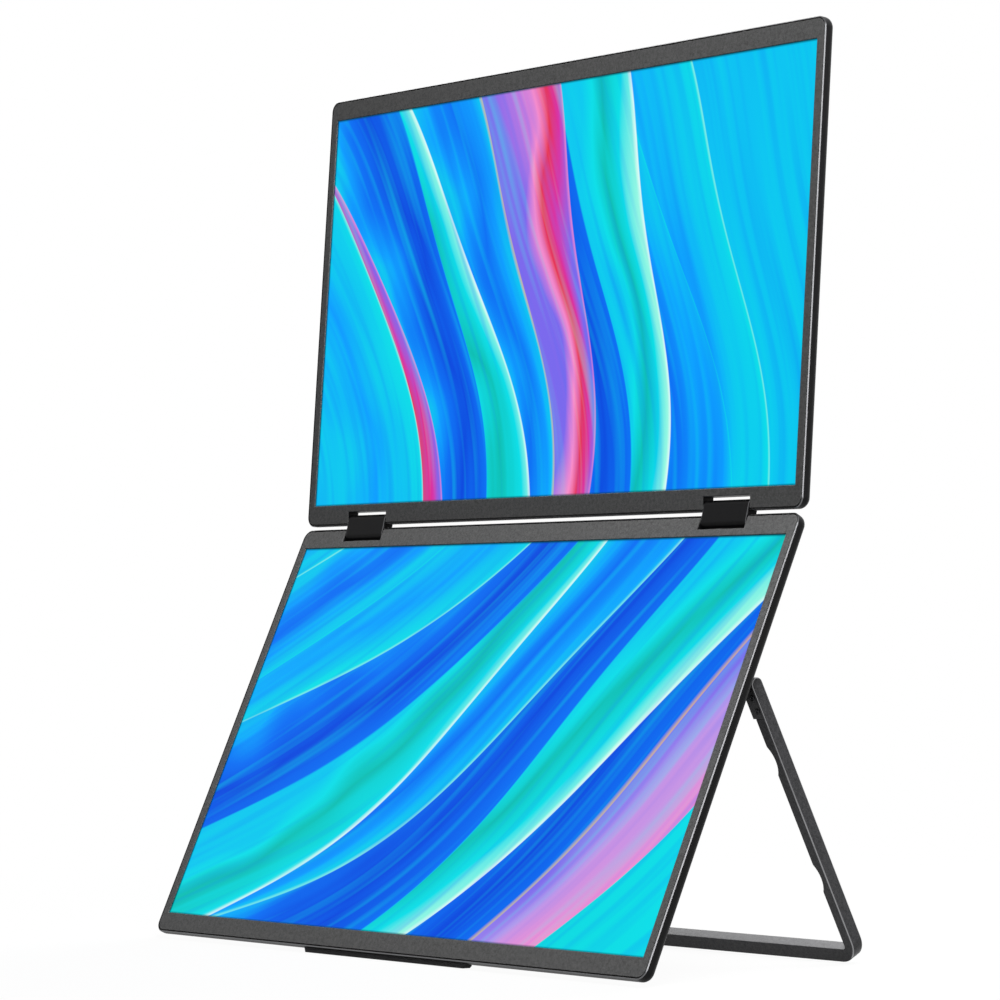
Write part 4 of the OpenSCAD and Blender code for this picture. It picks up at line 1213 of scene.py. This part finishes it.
@dataclass
class Studio:
    """Camera, lamps, world and floor."""

    camera_at: Triple = (1.3712, -1.1155, 0.1646)  # place of the camera, in metres
    azimuth: float = -50.7037  # heading of the view from +Y towards +X, in degrees
    elevation: float = 1.2963  # rise of the view, in degrees
    roll: float = -0.9743  # roll of the camera, in degrees
    lens: float = 139.449  # focal length on a 36 mm sensor, in millimetres
    sky: float = 0.05  # light of the world on the object
    floor_radius: float = 4.0  # radius of the floor, in metres
    floor_gap: float = 0.0002  # depth of the floor below the object's feet, in metres
    floor_white: float = 0.45  # colour of the floor to the eye
    floor_grey: float = 0.1  # colour of the floor in the light that it throws back
    floor_glow: float = 0.94  # share of the floor that reads white to the eye beside the object
    glow_fade: Pair = (0.1, 0.5)  # where that share starts to grow, and the way to full white
    lamps: tuple[Softbox, ...] = (
        Softbox("overhead_softbox", (0.3, 0.01, 1.0), (0.0, 0.0, 0.2), (0.3, 0.3), 2.45, 0.0, False),
        Softbox("edge_strip", (1.651, -1.399, 1.042), (0.177, 0.0, 0.2), (0.3, 1.5), 0.2, -9.0),
        Softbox("rear_softbox", (-1.35, 0.75, 1.2), (0.1, 0.07, 0.0), (0.8, 0.8), 0.15),
        Softbox("rear_fill", (-0.3, 1.6, 0.95), (0.0, 0.05, 0.2), (1.2, 1.2), 2.6, 0.0, False),
    )

    def build(self) -> None:
        """Sets up the scene round the object."""
        self.place_camera()
        self.light_world()
        self.hang_lamps()
        self.lay_floor()
        bpy.context.scene.view_settings.view_transform = "Standard"

    def place_camera(self) -> None:
        """Places the camera at the viewing angle."""
        data = bpy.data.cameras.new("camera")
        data.sensor_width = 36.0
        data.lens = self.lens
        data.clip_start = 0.05
        camera = in_scene("camera", data)
        upright = math.radians(90 + self.elevation)
        heading = Euler((upright, 0, -math.radians(self.azimuth)), "XYZ").to_matrix()
        camera.matrix_world = rolled(self.camera_at, heading, self.roll)
        bpy.context.scene.camera = camera

    def light_world(self) -> None:
        """Makes the world a soft sky that reads white to the eye, to gloss and through glass."""
        world = bpy.data.worlds.new("studio_sky")
        bpy.context.scene.world = world
        tree = Tree(world)
        soft, white = (tree.add("ShaderNodeBackground", {"Color": PLAIN_WHITE, "Strength": strength})
                       for strength in (self.sky, 1.0))
        shown = {0: tree.looked_at(), 1: soft.outputs[0], 2: white.outputs[0]}
        blend = tree.add("ShaderNodeMixShader", shown)
        tree.add("ShaderNodeOutputWorld", {"Surface": blend.outputs[0]})

    def hang_lamps(self) -> None:
        """Hangs the soft lamps."""
        for lamp in self.lamps:
            data = bpy.data.lights.new(lamp.name, "AREA")
            data.shape = "RECTANGLE"
            data.size, data.size_y = lamp.size
            away = Vector(lamp.place) - Vector(lamp.aim)
            data.energy = lamp.level * math.pi ** 2 * away.length_squared
            light = in_scene(lamp.name, data)
            light.visible_camera = False
            light.visible_glossy = lamp.mirrored
            light.matrix_world = rolled(lamp.place, away.to_track_quat("Z", "Y").to_matrix(), lamp.roll)

    def lay_floor(self) -> None:
        """Lays a plain white floor that keeps a faint shadow of the object."""
        work = Workpiece(Place(Matrix.Identity(4), 0.0))
        bmesh.ops.create_circle(work.bm, cap_ends=True, segments=64, radius=self.floor_radius)
        work.move(Matrix.Translation((0, 0, -self.floor_gap)))
        mesh = work.to_mesh("floor")
        graph = Graph("floor_white")
        looked_at = graph.looked_at()
        shade = graph.mix(looked_at, (self.floor_grey,) * 3, (self.floor_white,) * 3)
        graph.surface(Base_Color=shade, Roughness=0.9, Specular_IOR_Level=0.0)
        away = graph.add("ShaderNodeVectorMath", {0: graph.place}, operation="LENGTH").outputs["Value"]
        near, fade = self.glow_fade
        open_floor = graph.share(graph.maths("SUBTRACT", away, near), fade)
        plain = graph.total(graph.times(open_floor, 1 - self.floor_glow), self.floor_glow)
        glow = graph.add("ShaderNodeEmission", {"Color": PLAIN_WHITE, "Strength": 1.0}).outputs[0]
        shown = {0: graph.times(looked_at, plain), 1: graph.shader.outputs[0], 2: glow}
        blend = graph.add("ShaderNodeMixShader", shown)
        graph.feed(graph.output.inputs["Surface"], blend.outputs[0])
        mesh.materials.append(graph.material)
        in_scene("floor", mesh)


def rolled(place: Sequence[float], turn: Matrix, roll: float) -> Matrix:
    """The pose of a camera or a lamp that is rolled about its own axis by some degrees."""
    return Matrix.Translation(place) @ (turn @ Matrix.Rotation(math.radians(roll), 3, "Z")).to_4x4()


UPPER_DESIGN = Design((AZURE, CYAN), (-420, -170), (
    Fold((-430, -190), 590, 90, SKY_SILK, MINT, 1.6),
    Fold((-400, -230), 545, 60, BLUE_SILK, AQUA, 1.2),
    Fold((-470, -110), 556, 36, PALE_SILK, WHITE, 2.6),
    Fold((-440, -160), 506, 52, DEEP_SILK, AQUA, 1.2),
    Fold((-480, -90), 514, 30, ROSE_SILK, PINK, 2),
    Fold((-450, -150), 462, 40, BLUE_SILK, GOLD, 2),
    Fold((-410, -200), 416, 44, PALE_SILK, WHITE, 2.2),
    Fold((-430, -160), 396, 46, DEEP_SILK, CYAN, 1),
    Fold((-400, -190), 340, 26, ROSE_SILK, PINK, 1.6),
    Fold((-410, -170), 330, 60, SKY_SILK, MINT, 1.4),
))
LOWER_DESIGN = Design((TEAL, AQUA), (-330, 330), (
    Fold((-300, 360), 610, 60, DUSK_SILK, PINK, 1.6),
    Fold((-320, 330), 570, 60, DEEP_SILK, GOLD, 2.6),
    Fold((-290, 380), 560, 46, PALE_SILK, WHITE, 2.8),
    Fold((-340, 320), 520, 70, DEEP_SILK, AQUA, 1.2),
    Fold((-300, 350), 480, 40, BLUE_SILK, MINT, 2),
    Fold((-350, 300), 452, 36, PALE_SILK, WHITE, 2.4),
    Fold((-310, 340), 420, 54, DEEP_SILK, CYAN, 1.2),
    Fold((-280, 370), 388, 40, SKY_SILK, MINT, 1.6),
    Fold((-320, 330), 345, 50, BLUE_SILK, AQUA, 1.4),
    Fold((-300, 350), 302, 60, SKY_SILK, MINT, 1.4),
))


def main() -> None:
    """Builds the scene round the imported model."""
    logging.basicConfig(level=logging.INFO, format="%(message)s")
    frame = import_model()
    nodes = frame["nodes"]
    frames = Frames(frame["joints"])
    finishes = Finishes(frames)
    Studio().build()
    Screen(frames.lower, finishes, nodes, "lower", Body.LOWER, LOWER_DESIGN).build()
    Screen(frames.upper.mirrored_in_z(), finishes, nodes, "upper", Body.UPPER, UPPER_DESIGN).build()
    HingeBlocks(frames.blocks, finishes, nodes).build()
    Kickstand(frames.stand, finishes, nodes).build()
    for part in (FootStrip, RearHousing, Controls):
        part(frames.lower, finishes, nodes).build()
    dress_inner_parts(nodes, finishes)


if __name__ == "__main__":
    main()
